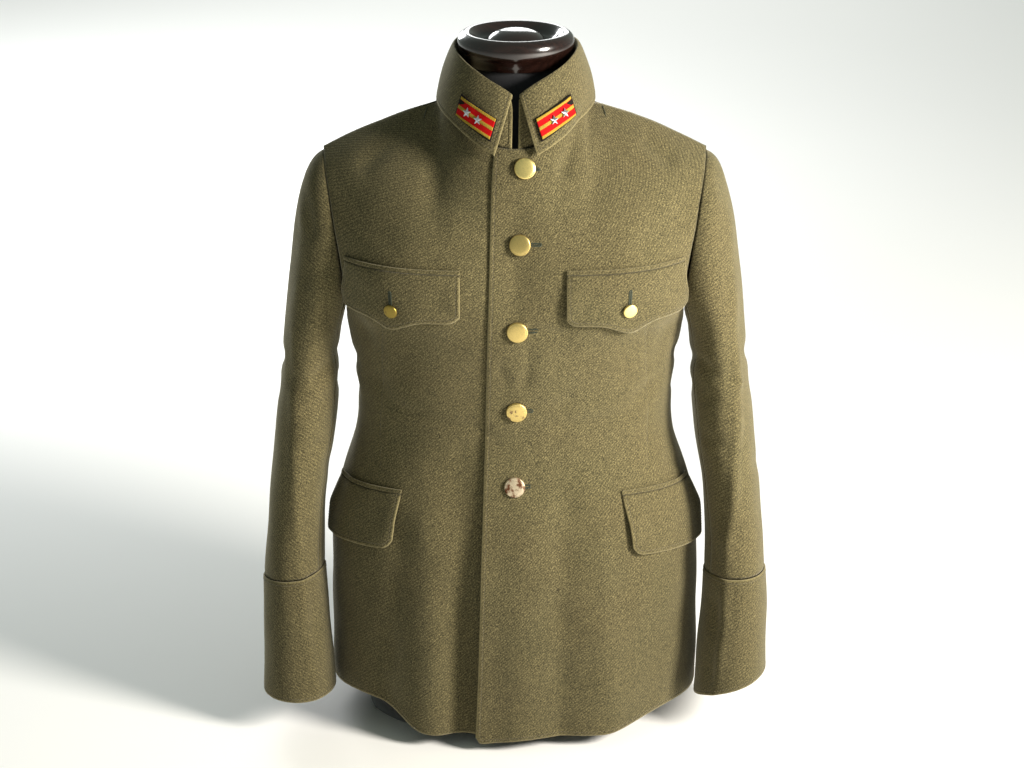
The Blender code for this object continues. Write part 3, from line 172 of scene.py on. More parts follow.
# Creases: a path on one side of the tunic, its half width and its height (below 0 a trough).
# A path gives (across, up) in metres, across being x on the front and back, y on the sides.
Crease = namedtuple("Crease", "side path width height")
CREASES = (
    # Front, skirt
    Crease("front", ((-0.097, 0.31), (-0.095, 0.216), (-0.087, 0.123), (-0.085, 0.012)), 0.011, 0.5),
    Crease("front", ((-0.122, 0.24), (-0.131, 0.13), (-0.140, 0.05)), 0.013, -1.8),
    Crease("front", ((0.054, 0.27), (0.048, 0.16), (0.049, 0.03)), 0.017, -2.4),
    Crease("front", ((0.092, 0.24), (0.098, 0.11), (0.104, 0.02)), 0.016, 1.4),
    Crease("front", ((0.010, 0.26), (0.004, 0.12), (0.006, 0.02)), 0.020, 1.0),
    # Front, waist
    Crease("front", ((-0.118, 0.371), (-0.075, 0.364), (-0.029, 0.359)), 0.0065, -1.5),
    Crease("front", ((-0.105, 0.383), (-0.060, 0.376)), 0.009, 0.9),
    Crease("front", ((0.030, 0.366), (0.078, 0.363), (0.120, 0.369)), 0.0075, -1.3),
    Crease("front", ((0.060, 0.376), (0.100, 0.378)), 0.009, 0.8),
    Crease("front", ((-0.150, 0.395), (-0.128, 0.377)), 0.008, -1.4),
    Crease("front", ((0.150, 0.398), (0.130, 0.385)), 0.008, -1.3),
    Crease("front", ((-0.020, 0.345), (-0.060, 0.330)), 0.010, -1.0),
    Crease("front", ((0.010, 0.413), (0.016, 0.435), (0.013, 0.452)), 0.006, -1.2),
    Crease("front", ((-0.010, 0.405), (-0.014, 0.432)), 0.006, -0.8),
    # Front, drags to the buttons
    Crease("front", ((0.016, 0.474), (0.050, 0.469)), 0.006, -1.0),
    Crease("front", ((0.016, 0.383), (0.055, 0.388)), 0.006, -1.0),
    Crease("front", ((0.014, 0.297), (0.048, 0.291)), 0.007, -1.1),
    Crease("front", ((0.020, 0.562), (0.046, 0.556)), 0.006, -0.9),
    # Front, chest and shoulders
    Crease("front", ((0.073, 0.684), (0.063, 0.664), (0.051, 0.636)), 0.0085, -2.6),
    Crease("front", ((0.090, 0.668), (0.078, 0.646), (0.070, 0.622)), 0.011, 1.3),
    Crease("front", ((0.137, 0.647), (0.157, 0.631)), 0.0075, -2.0),
    Crease("front", ((-0.080, 0.686), (-0.106, 0.662), (-0.132, 0.645), (-0.155, 0.627)), 0.007, -1.3),
    Crease("front", ((-0.074, 0.655), (-0.084, 0.625), (-0.088, 0.600)), 0.012, -0.8),
    Crease("front", ((-0.178, 0.600), (-0.155, 0.575), (-0.125, 0.560)), 0.013, -0.5),
    Crease("front", ((0.180, 0.592), (0.160, 0.572), (0.135, 0.560)), 0.013, -1.3),
    Crease("front", ((-0.168, 0.470), (-0.150, 0.430), (-0.140, 0.400)), 0.012, -1.5),
    Crease("front", ((0.166, 0.468), (0.152, 0.428)), 0.012, -1.3),
    # Sleeves, front
    Crease("front", ((0.222, 0.580), (0.2252, 0.546), (0.2295, 0.471), (0.2338, 0.395)), 0.0055, 2.0),
    Crease("front", ((0.2338, 0.395), (0.2342, 0.344), (0.2321, 0.252), (0.2272, 0.217)), 0.0055, 2.2),
    Crease("front", ((0.2272, 0.210), (0.2235, 0.118), (0.2125, 0.036)), 0.0055, 1.8),
    Crease("front", ((-0.221, 0.570), (-0.229, 0.460), (-0.234, 0.340)), 0.006, 1.3),
    Crease("front", ((-0.234, 0.330), (-0.231, 0.230), (-0.224, 0.120), (-0.214, 0.050)), 0.006, 1.3),
    Crease("front", ((-0.232, 0.610), (-0.219, 0.585), (-0.209, 0.560)), 0.008, -2.0),
    Crease("front", ((-0.238, 0.580), (-0.224, 0.552)), 0.008, -1.3),
    Crease("front", ((0.214, 0.612), (0.222, 0.580)), 0.008, -1.5),
    Crease("front", ((-0.196, 0.408), (-0.214, 0.398), (-0.232, 0.396)), 0.008, -2.2),
    Crease("front", ((-0.196, 0.372), (-0.216, 0.366)), 0.008, -1.7),
    Crease("front", ((0.196, 0.414), (0.214, 0.402), (0.228, 0.401)), 0.008, -2.0),
    Crease("front", ((0.200, 0.380), (0.222, 0.368)), 0.008, -1.8),
    Crease("front", ((0.206, 0.330), (0.224, 0.322)), 0.009, -1.4),
    Crease("front", ((-0.204, 0.322), (-0.226, 0.312)), 0.009, -1.3),
    Crease("front", ((0.212, 0.150), (0.214, 0.090), (0.206, 0.040)), 0.008, -1.8),
    Crease("front", ((-0.214, 0.160), (-0.216, 0.100)), 0.009, -1.2),
    # Back
    Crease("back", ((-0.075, 0.405), (0.0, 0.396), (0.070, 0.408)), 0.009, -1.8),
    Crease("back", ((-0.095, 0.372), (-0.020, 0.362), (0.060, 0.370)), 0.009, -2.0),
    Crease("back", ((-0.060, 0.388), (0.030, 0.380)), 0.009, 1.2),
    Crease("back", ((0.140, 0.420), (0.095, 0.385)), 0.010, -1.8),
    Crease("back", ((-0.142, 0.428), (-0.100, 0.392)), 0.010, -1.8),
    Crease("back", ((0.170, 0.560), (0.130, 0.500), (0.120, 0.440)), 0.014, -2.0),
    Crease("back", ((-0.172, 0.548), (-0.134, 0.490), (-0.118, 0.440)), 0.014, -2.0),
    Crease("back", ((-0.060, 0.668), (-0.020, 0.660), (0.040, 0.664)), 0.010, -1.6),
    Crease("back", ((0.050, 0.250), (0.060, 0.120), (0.062, 0.030)), 0.015, -1.8),
    Crease("back", ((-0.055, 0.240), (-0.070, 0.110), (-0.074, 0.030)), 0.015, -2.0),
    Crease("back", ((0.000, 0.270), (0.004, 0.150), (-0.002, 0.030)), 0.016, 1.6),
    # Sides and sleeve backs
    Crease("left", ((-0.030, 0.420), (0.010, 0.405), (0.050, 0.410)), 0.009, -1.8),
    Crease("left", ((-0.010, 0.378), (0.040, 0.368)), 0.009, -1.9),
    Crease("left", ((0.010, 0.350), (0.045, 0.335)), 0.009, -1.4),
    Crease("left", ((0.020, 0.600), (0.035, 0.550)), 0.010, -1.3),
    Crease("left", ((-0.045, 0.300), (-0.010, 0.285)), 0.010, -1.2),
    Crease("right", ((-0.028, 0.412), (0.012, 0.400), (0.052, 0.398)), 0.009, -1.8),
    Crease("right", ((-0.014, 0.374), (0.036, 0.360)), 0.009, -1.7),
    Crease("right", ((0.015, 0.342), (0.048, 0.330)), 0.009, -1.5),
    Crease("right", ((0.016, 0.590), (0.030, 0.540)), 0.010, -1.4),
)
FACING = {
    "front": (Vector((0, -1, 0)), 0),
    "back": (Vector((0, 1, 0)), 0),
    "left": (Vector((1, 0, 0)), 1),
    "right": (Vector((-1, 0, 0)), 1),
}

# A crease fades out where the cloth turns away from the side it is placed on
FACING_GAIN = 1.8
FACING_LOSS = 0.2
# Its swelling: share of the height, radians per metre up and across, and where it starts
SWELL = 0.3
SWELL_UP = 95
SWELL_ACROSS = 60
SWELL_START = 900

# Soft unevenness of the whole cloth: wavelengths in metres along three slanting ways
Wave = namedtuple("Wave", "way length height")
WAVES = (
    Wave((0.8, 0.3, 0.5), 0.083, 0.22),
    Wave((-0.5, 0.4, 0.8), 0.061, 0.17),
    Wave((0.3, -0.8, 0.6), 0.047, 0.12),
    Wave((0.9, 0.1, -0.4), 0.035, 0.07),
)

# Darts below the breast flaps, as (x, z) paths on the front
DARTS = (
    ((-0.1366, 0.478), (-0.1400, 0.430), (-0.1420, 0.390), (-0.1434, 0.300)),
    ((0.1344, 0.478), (0.1383, 0.421), (0.1405, 0.380), (0.1419, 0.300)),
)

# The middle line of the left sleeve, to wrap its cloth round
SleeveMiddle = namedtuple("SleeveMiddle", "height across depth")
SLEEVE_MIDDLE = (
    SleeveMiddle(0.036, 0.2355, -0.0595),
    SleeveMiddle(0.178, 0.2390, -0.0395),
    SleeveMiddle(0.270, 0.2335, -0.0185),
    SleeveMiddle(0.420, 0.2170, -0.0030),
    SleeveMiddle(0.640, 0.2050, 0.0000),
)

# Each cloth piece: how it wraps, how fine it is made, its cut as (width, length) and that
# cut's area, how it is held and what it lies on
Piece = namedtuple("Piece", "wrap levels cut area held rests_on")
BODY_PIECES = {
    "front_left": Piece("body", 3, (0.33, 0.70), 0.190, "hung", ["form_torso"]),
    "front_right": Piece("body", 3, (0.30, 0.70), 0.178, "hung", ["form_torso"]),
    "back_left": Piece("body", 3, (0.24, 0.71), 0.156, "hung", ["form_torso"]),
    "back_right": Piece("body", 3, (0.24, 0.71), 0.156, "hung", ["form_torso"]),
}
SLEEVE_PIECES = {
    "sleeve_upper": Piece("sleeve", 3, (0.20, 0.47), 0.090, "hung", ["form_torso"]),
    "sleeve_under": Piece("under", 3, (0.09, 0.34), 0.025, "hung", ["form_torso"]),
    "cuff": Piece("sleeve", 3, (0.31, 0.142), 0.037, "hung", ["sleeve_upper"]),
}
COLLAR_PIECES = {
    "collar_stand": Piece("collar", 3, (0.46, 0.075), 0.023, "hung", ["back_left"]),
    "collar_fall": Piece("collar", 3, (0.55, 0.08), 0.030, "folded", ["collar_stand"]),
}
POCKET_PIECES = {
    "breast_flap": Piece("body", 2, (0.124, 0.07), 0.0083, "laid", ["front"]),
    "breast_welt": Piece("body", 2, (0.124, 0.010), 0.0007, "laid", ["front"]),
    "lower_flap": Piece("body", 2, (0.125, 0.072), 0.0080, "laid", ["front"]),
    "lower_welt": Piece("body", 2, (0.125, 0.010), 0.0007, "laid", ["front"]),
}
WRAP_RADIUS = {"body": 0.165, "sleeve": 0.048, "under": 0.048, "collar": 0.080}
# Above this height the body's map turns in over the shoulders
TURN_HEIGHT = 0.50

# Below the waist the overlap's edge stands off, and the front under it falls back beside it
Lap = namedtuple("Lap", "middle width height")
LAPS = {
    "front_left": Lap(-0.046, 0.018, 4.5 * MM),
    "front_right": Lap(-0.056, 0.021, -9.5 * MM),
}
LAP_TOP = 0.430
LAP_FULL_BELOW = 0.090

# The lower corner of the overlap is cut round, and the cloth above it shares the change
CORNER_RADIUS = 9 * MM
CORNER_REACH = 27 * MM

# Borders that are free edges and not seams: the hem, and each front's own edge
Past = namedtuple("Past", "past below")
HEM_BELOW = 0.048
BACK_HEM_BELOW = 0.040
LEFT_EDGE = Past(-0.012, 0.651)
RIGHT_EDGE = Past(0.004, 0.645)
STAND_END = 0.008

# The collar's fold line, and the tops of the flaps: the lower ones by the angle round the body
COLLAR_SHIFT = 1 * MM
FOLD_HALF_WIDTH = 0.0645
FOLD_FRONT = 0.083
FOLD_BACK = 0.067
BREAST_TOP = 0.5310
LOWER_TOP = 0.2775
LOWER_SLOPE = 0.007
LOWER_FROM = 50
LOWER_SPAN = 36

# A flap's free edge stands off its panel, in full this far (in mm) below its sewn top
FLAP_LIFT = 3.4 * MM
FLAP_HANG = 32
FLAP_CURL = 16

# Seams sink, within a reach in mm, and a dart counts as this much (in mm) further off
SEAM_SINK = 0.55 * MM
SEAM_REACH = 4.0
DART_SHALLOWER = 0.35

# A welt's edges lie low, so their pale edge, partly rubbing and partly painted highlight, is drawn as
# if this much (in mm) further in
WELT_PALE_EDGE_LESS = 1.0

# Material measures: the wave texture's repeat, the twill's slant in degrees, the widths in mm
# of the stitched rim and of a seam's valley, and the rim's levels as (share, height)
WAVE_REPEAT = 0.314
TWILL_TURN = 50
RIM_WIDTH = 10.0
RIM_LEVELS = ((0.06, 0.35), (0.22, 0.80), (0.34, 0.72), (0.42, 0.10), (0.50, 0.55))
SEAM_WIDTH = 2.2

# The skins already laid, by node, to sew on
made = {}


def link(obj):
    bpy.context.scene.collection.objects.link(obj)
    return obj


def add_node(tree, kind, links=(), **settings):
    """Adds a shader node with its settings, and fills or links its inputs."""
    added = tree.nodes.new(kind)
    for name, value in settings.items():
        setattr(added, name, value)
    for socket, source in dict(links).items():
        if isinstance(source, bpy.types.NodeSocket):
            tree.links.new(source, added.inputs[socket])
        else:
            added.inputs[socket].default_value = source
    return added


def new_material(name):
    """An empty material with its Principled BSDF: (material, tree, shader)."""
    material = bpy.data.materials.new(name)
    material.use_nodes = True
    tree = material.node_tree
    return material, tree, tree.nodes["Principled BSDF"]


def set_shader(tree, shader, **values):
    """Sets inputs of the shader to constants, or links them to sockets."""
    for name, value in values.items():
        socket = shader.inputs[name.replace("_", " ")]
        if isinstance(value, bpy.types.NodeSocket):
            tree.links.new(value, socket)
        else:
            socket.default_value = value


def rgba(colour):
    return (*colour, 1.0)


def place_of(tree, kind="Object"):
    """Where a texture lies: in the object's own metres, or on its UV map."""
    return add_node(tree, "ShaderNodeTexCoord").outputs[kind]


def shaded(colour, share):
    """A colour made darker or paler by a share."""
    return [min(1.0, part * share) for part in colour]


def blend(tree, share, first, second):
    """A colour between two others, each a colour or a socket."""
    ends = [c if isinstance(c, bpy.types.NodeSocket) else rgba(c) for c in (first, second)]
    links = {0: share, 6: ends[0], 7: ends[1]}
    return add_node(tree, "ShaderNodeMix", links, data_type="RGBA").outputs[2]


def between(tree, share, first, second):
    """A value between two others."""
    links = {0: share, 2: first, 3: second}
    return add_node(tree, "ShaderNodeMix", links, data_type="FLOAT").outputs[0]


def remap(tree, value, low, high, start=0.0, end=1.0, kind="LINEAR"):
    """A value carried from the range low to high over to start to end."""
    links = {"Value": value, "From Min": low, "From Max": high, "To Min": start, "To Max": end}
    return add_node(tree, "ShaderNodeMapRange", links, interpolation_type=kind).outputs[0]


def noise(tree, place, scale, detail=3.0, roughness=0.5):
    links = {"Vector": place, "Scale": scale, "Detail": detail, "Roughness": roughness}
    return add_node(tree, "ShaderNodeTexNoise", links).outputs["Fac"]


def bands(tree, place, pitch, distortion, detail=2.0, detail_scale=1.0, way="X"):
    """Parallel lines at a pitch in metres. The texture repeats every 0.314 of its unit."""
    links = {"Vector": place, "Scale": WAVE_REPEAT / pitch, "Distortion": distortion}
    links |= {"Detail": detail, "Detail Scale": detail_scale}
    return add_node(tree, "ShaderNodeTexWave", links, bands_direction=way).outputs["Fac"]


def turned_place(tree, place, degrees, axis):
    """A place turned about an axis, 0 to 2 for X to Z."""
    turn = [0.0, 0.0, 0.0]
    turn[axis] = math.radians(degrees)
    return add_node(tree, "ShaderNodeMapping", {"Vector": place, "Rotation": turn}).outputs[0]


def bump(tree, height, strength, distance, under=None):
    """Relief from a height, over the relief that is already there."""
    links = {"Height": height, "Strength": strength, "Distance": distance}
    if under:
        links["Normal"] = under
    return add_node(tree, "ShaderNodeBump", links).outputs[0]


def steps(tree, value, interpolation, first, rows, last):
    """A ramp of grey levels, from the first through rows of (position, level) to the last."""
    ramp_node = add_node(tree, "ShaderNodeValToRGB", {"Fac": value})
    ramp = ramp_node.color_ramp
    ramp.interpolation = interpolation
    for position, level in rows:
        ramp.elements.new(position).color = (level, level, level, 1)
    ramp.elements[0].color = (first, first, first, 1)
    ramp.elements[-1].color = (last, last, last, 1)
    return ramp_node.outputs["Color"]


def wool_twill(cloth):
    """Olive-khaki wool twill: fine ribs, mixed light and dark fibre, a short dull nap."""
    material, tree, shader = new_material("olive_wool_twill")
    solid = place_of(tree)
    # Patches of a warmer and a greener cast, 90 mm across, as old dyed wool has
    cast = blend(tree, noise(tree, solid, 11.0), cloth.brown, cloth.green)
    base = blend(tree, 0.5, cloth.wool, cast)
    # Fibre flecks are a tenth of a millimetre across. They are drawn 1 mm wide so that they show
    light = remap(tree, noise(tree, solid, 900.0, 2.0), 0.46, 0.62, end=0.72)
    flecked = blend(tree, light, base, cloth.fleck_and_edge_light)
    shift = {"Vector": solid, "Location": (3.1, 1.7, 5.3)}
    shifted = add_node(tree, "ShaderNodeMapping", shift).outputs[0]
    dark = remap(tree, noise(tree, shifted, 820.0, 2.0), 0.48, 0.66, end=0.74)
    peppered = blend(tree, dark, flecked, cloth.pepper_and_shade)
    # Twill ribs rise to the right, and painted shade darkens their valleys
    slanted = turned_place(tree, place_of(tree, "UV"), TWILL_TURN, 2)
    ribs = bands(tree, slanted, cloth.twill_pitch, 1.6, 1.0, 1.5)
    valley_shaded = blend(tree, remap(tree, ribs, 0.0, 0.7, 0.34, 0.0), peppered, cloth.pepper_and_shade)
    # Painted shade: the skirt is darker towards the bottom, where the light falls off, in full below
    # the lower pockets
    up = add_node(tree, "ShaderNodeSeparateXYZ", {"Vector": solid}).outputs["Z"]
    low_shade_share = remap(tree, up, 0.10, 0.34, 0.20, 0.0, "SMOOTHSTEP")
    low_shaded = blend(tree, low_shade_share, valley_shaded, cloth.pepper_and_shade)
    # Edges are paler, partly from rubbing by hands and straps and partly as a painted highlight where
    # they catch the light, and painted shade darkens the seams (both in mm)
    edge = add_node(tree, "ShaderNodeAttribute", attribute_name="from_edge").outputs["Fac"]
    seam = add_node(tree, "ShaderNodeAttribute", attribute_name="from_seam").outputs["Fac"]
    rubbed_and_highlit = blend(tree, remap(tree, edge, 0.3, 2.0, 0.62, 0.0), low_shaded, cloth.fleck_and_edge_light)
    # Painted shade along the seams, darker nearer to them
    colour = blend(tree, remap(tree, seam, 0.2, 1.3, 0.42, 0.0), rubbed_and_highlit, cloth.pepper_and_shade)
    woven = bump(tree, between(tree, 0.62, ribs, noise(tree, solid, 1300.0)), 0.55, 0.5 * MM)
    # The topstitched edge: a puffed rim, the sunk line of stitches, then flat cloth
    rim = steps(tree, remap(tree, edge, 0.0, RIM_WIDTH), "B_SPLINE", 0.0, RIM_LEVELS, 0.6)
    stitched = bump(tree, rim, 0.8, 1.3 * MM, woven)
    valley = remap(tree, seam, 0.0, SEAM_WIDTH, kind="SMOOTHSTEP")
    sewn = bump(tree, valley, 0.8, 0.9 * MM, stitched)
    set_shader(tree, shader, Base_Color=colour, Normal=sewn, Roughness=0.93, Sheen_Weight=0.35)
    set_shader(tree, shader, Sheen_Roughness=0.45, Sheen_Tint=(0.80, 0.74, 0.56, 1))
    set_shader(tree, shader, Specular_IOR_Level=0.2)
    return material


def sewing_thread(name, colour):
    """Twisted cotton or silk thread: a dull thread with a fine twist."""
    material, tree, shader = new_material(name)
    # The twist of the thread is half a millimetre long, and its darker and paler spots are painted
    # shade and highlight
    twist = noise(tree, place_of(tree), 2000.0, 1.0)
    shade = blend(tree, twist, shaded(colour, 0.62), shaded(colour, 1.25))
    relief = bump(tree, twist, 0.5, 0.15 * MM)
    set_shader(tree, shader, Base_Color=shade, Normal=relief, Roughness=0.7, Sheen_Weight=0.2)
    return material


def stamped_brass(name, clean, stain, stained, roughness, pitted):
    """Die-stamped brass, satin from wear, with brown tarnish in patches and fine scratches."""
    material, tree, shader = new_material(name)
    solid = place_of(tree)
    # Tarnish spreads in patches of 4 to 8 mm
    patch = noise(tree, solid, 170.0, 5.0, 0.62)
    share = remap(tree, patch, 0.66 - 0.4 * stained, 0.74 - 0.28 * stained)
    # A worn film of brown over all of it, finer than the patches
    film = remap(tree, noise(tree, solid, 700.0, 4.0), 0.42, 0.85, end=0.45)
    dulled = blend(tree, film, clean, shaded(clean, 0.55))
    colour = blend(tree, share, dulled, stain)
    rough = remap(tree, share, 0.0, 1.0, roughness, min(1.0, roughness + 0.28))
    # Pits and scratches are tenths of a millimetre, drawn 0.5 mm wide so that they show
    relief = bump(tree, noise(tree, solid, 1600.0), pitted, 0.2 * MM)
    set_shader(tree, shader, Base_Color=colour, Normal=relief, Roughness=rough, Metallic=1.0)
    return material


def silvered_metal(trim):
    """Bright silvered metal of the stars, a little scratched."""
    material, tree, shader = new_material("silvered_star_metal")
    # Wear in spots of about 1 mm
    worn = noise(tree, place_of(tree), 800.0)
    colour = blend(tree, worn, trim.silver, shaded(trim.silver, 0.7))
    relief = bump(tree, worn, 0.3, 0.15 * MM)
    set_shader(tree, shader, Base_Color=colour, Normal=relief, Roughness=0.28, Metallic=1.0)
    return material


def braided_felt(trim):
    """Scarlet felt with gold wire braid along both long edges and the middle."""
    material, tree, shader = new_material("scarlet_felt_gold_braid")
    solid = place_of(tree)
    down = add_node(tree, "ShaderNodeSeparateXYZ", {"Vector": place_of(tree, "UV")})
    stripes = steps(tree, down.outputs["Y"], "CONSTANT", 1, BRAID_STEPS, 1)
    fuzz = noise(tree, solid, 1500.0)
    felt = blend(tree, fuzz, trim.felt, shaded(trim.felt, 0.6))
    # Wire threads cross the braid slantwise, 0.9 mm apart, drawn as painted highlight on the wires and
    # painted shade between them
    wires = bands(tree, turned_place(tree, solid, 40, 1), 0.9 * MM, 1.2)
    braid = blend(tree, wires, shaded(trim.braid, 0.35), shaded(trim.braid, 1.35))
    colour = blend(tree, stripes, felt, braid)
    metal = remap(tree, stripes, 0.0, 1.0, end=0.45)
    relief = bump(tree, between(tree, stripes, fuzz, wires), 0.7, 0.35 * MM)
    set_shader(tree, shader, Base_Color=colour, Normal=relief, Metallic=metal, Roughness=0.8)
    set_shader(tree, shader, Specular_IOR_Level=0.15)
    return material


def black_felt(trim):
    """Black felt under the rank tabs, matt and faintly fuzzy; where it shows round a tab it is partly
    painted shadow.
    """
    material, tree, shader = new_material("black_felt")
    # Fuzz of about 0.7 mm
    fuzz = noise(tree, place_of(tree), 1400.0)
    colour = blend(tree, fuzz, trim.backing, shaded(trim.backing, 2.5))
    set_shader(tree, shader, Base_Color=colour, Roughness=0.95, Specular_IOR_Level=0.1)
    return material


def knitted_jersey(form):
    """Dark grey cotton jersey stretched over padding: fine vertical wales, matt."""
    material, tree, shader = new_material("grey_cotton_jersey")
    solid = place_of(tree)
    # Wales of the knit stand 1.4 mm apart
    wales = bands(tree, solid, 1.4 * MM, 0.8)
    lint = noise(tree, solid, 700.0, 4.0)
    colour = blend(tree, lint, shaded(form.jersey, 0.7), shaded(form.jersey, 1.35))
    relief = bump(tree, between(tree, 0.5, wales, lint), 0.5, 0.4 * MM)
    set_shader(tree, shader, Base_Color=colour, Normal=relief, Roughness=0.9)
    set_shader(tree, shader, Sheen_Weight=0.3, Sheen_Roughness=0.5)
    return material


def lacquered_wood(form):
    """Turned beech under a dark brown lacquer: deep gloss, faint grain and dust."""
    material, tree, shader = new_material("dark_lacquered_beech")
    solid = place_of(tree)
    # Grain lines 5 mm apart show faintly through the lacquer
    grain = bands(tree, solid, 5.0 * MM, 6.0, 3.0, way="Y")
    colour = blend(tree, grain, form.lacquer, shaded(form.lacquer, 1.7))
    rough = remap(tree, noise(tree, solid, 160.0, 6.0), 0.0, 1.0, 0.12, 0.28)
    set_shader(tree, shader, Base_Color=colour, Roughness=rough, Coat_Weight=0.8)
    set_shader(tree, shader, Coat_Roughness=0.06)
    return material


def islands(bm):
    """The faces of each separate part of a mesh."""
    left, parts = set(bm.faces), []
    while left:
        todo, part = [left.pop()], []
        while todo:
            face = todo.pop()
            part.append(face)
            for edge in face.edges:
                for other in edge.link_faces:
                    if other in left:
                        left.remove(other)
                        todo.append(other)
        parts.append(part)
    return parts


def outer_skin(node):
    """The outside of a cloth node's wall, without its rims, as a mesh of quads."""
    bm = bmesh.new()
    bm.from_mesh(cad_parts[node].data)
    bmesh.ops.remove_doubles(bm, verts=bm.verts, dist=MERGE)
    rims = [f for f in bm.faces if min(e.calc_length() for e in f.edges) < WALL_EDGE]
    bmesh.ops.delete(bm, geom=rims, context="FACES")
    parts = sorted(islands(bm), key=lambda part: sum(f.calc_area() for f in part))
    for part in parts[:-1]:
        bmesh.ops.delete(bm, geom=part, context="FACES")
    bmesh.ops.join_triangles(
        bm,
        faces=bm.faces[:],
        angle_face_threshold=math.radians(70),
        angle_shape_threshold=math.radians(110),
    )
    return bm


def wrap_angle(points, wrap, side):
    """How far round the body, sleeve or neck each point is, in radians."""
    x, y, z = points[:, 0] * side, points[:, 1], points[:, 2]
    if wrap in ("sleeve", "under"):
        heights = [row.height for row in SLEEVE_MIDDLE]
        across = x - np.interp(z, heights, [row.across for row in SLEEVE_MIDDLE])
        deep = y - np.interp(z, heights, [row.depth for row in SLEEVE_MIDDLE])
        if wrap == "under":
            return np.arctan2(-deep, -across)
        return np.arctan2(deep, across)
    return np.arctan2(points[:, 0], -points[:, 1])


def unwrap(mesh, wrap, side):
    """A UV map in metres: round the body or sleeve, and up."""
    points = np.array([v.co[:] for v in mesh.vertices])
    angles = wrap_angle(points, wrap, side)
    up = points[:, 2]
    if wrap == "body":
        out = np.hypot(points[:, 0], points[:, 1])
        turned = TURN_HEIGHT + WRAP_RADIUS[wrap] * np.arctan2(up - TURN_HEIGHT, out)
        up = np.where(up > TURN_HEIGHT, turned, up)
    layer = mesh.uv_layers.new(name="cloth")
    for face in mesh.polygons:
        turns = [angles[v] for v in face.vertices]
        middle = turns[0]
        for loop, vertex, turn in zip(face.loop_indices, face.vertices, turns):
            while turn - middle > math.pi:
                turn -= math.tau
            while middle - turn > math.pi:
                turn += math.tau
            layer.data[loop].uv = (turn * WRAP_RADIUS[wrap], up[vertex])


def subdivided(name, bm, levels):
    """A smooth object from a coarse mesh, with its corners kept."""
    mesh = bpy.data.meshes.new(name)
    bm.to_mesh(mesh)
    bm.free()
    coarse = link(bpy.data.objects.new(name, mesh))
    smoother = coarse.modifiers.new("Smooth", "SUBSURF")
    smoother.levels = levels
    smoother.render_levels = levels
    smoother.boundary_smooth = "PRESERVE_CORNERS"
    graph = bpy.context.evaluated_depsgraph_get()
    fine = bpy.data.meshes.new_from_object(coarse.evaluated_get(graph), depsgraph=graph)
    coarse.modifiers.clear()
    coarse.data = fine
    bpy.data.meshes.remove(mesh)
    fine.name = name
    fine.shade_smooth()
    return coarse


def is_open_edge(node, point):
    """Whether a border point is a free, topstitched edge and not a seam."""
    x, z = point.x, point.z
    if node == "front_left":
        return z < HEM_BELOW or (x < LEFT_EDGE.past and z < LEFT_EDGE.below)
    if node == "front_right":
        return z < HEM_BELOW or (x > RIGHT_EDGE.past and z < RIGHT_EDGE.below)
    if node.startswith("back"):
        return z < BACK_HEM_BELOW
    if node.startswith("cuff") or "welt" in node:
        return True
    if node == "collar_fall":
        return not near_fold(point)
    if node == "collar_stand":
        return abs(x) < STAND_END and point.y < 0
    if "flap" in node:
        return not near_flap_top(node, point)
    return False


def near_fold(point):
    """The inner border of the fall, hidden in its roll."""
    depth = FOLD_FRONT if point.y < 0 else FOLD_BACK
    return math.hypot((point.x - COLLAR_SHIFT) / FOLD_HALF_WIDTH, point.y / depth) < 1.0


def near_flap_top(node, point):
    """The top of a flap, which is sewn to its panel."""
    side = SIDES[node.split("_")[-1]]
    if node.startswith("breast"):
        return point.z > BREAST_TOP
    angle = math.degrees(math.atan2(side * point.x, -point.y))
    share = (angle - LOWER_FROM) / LOWER_SPAN
    return point.z > LOWER_TOP - LOWER_SLOPE * share


def borders(mesh, node):
    """Points close together along the free edges and along the seams of a cloth mesh."""
    uses = {}
    for face in mesh.polygons:
        for key in face.edge_keys:
            uses[key] = uses.get(key, 0) + 1
    free, sewn = [], []
    for (a, b), count in uses.items():
        if count > 1:
            continue
        start, end = mesh.vertices[a].co, mesh.vertices[b].co
        steps = max(2, int((end - start).length / (0.5 * MM)))
        found = free if is_open_edge(node, (start + end) / 2) else sewn
        found.extend(start.lerp(end, k / steps) for k in range(steps))
    return free, sewn


def distances(mesh, points):
    """The distance of each vertex from the nearest of some points, in millimetres."""
    if not points:
        return np.full(len(mesh.vertices), FAR / MM)
    tree = KDTree(len(points))
    for index, point in enumerate(points):
        tree.insert(point, index)
    tree.balance()
    found = [min(FAR, tree.find(v.co)[2]) / MM for v in mesh.vertices]
    return np.array(found)


def path_distance(across, up, path):
    """The distance of points from a path, in the plane that the path is drawn on."""
    nearest = np.full(len(across), 1e9)
    for (a0, u0), (a1, u1) in zip(path, path[1:]):
        da, du = a1 - a0, u1 - u0
        share = np.clip(((across - a0) * da + (up - u0) * du) / (da * da + du * du), 0, 1)
        gap = np.hypot(across - a0 - share * da, up - u0 - share * du)
        nearest = np.minimum(nearest, gap)
    return nearest


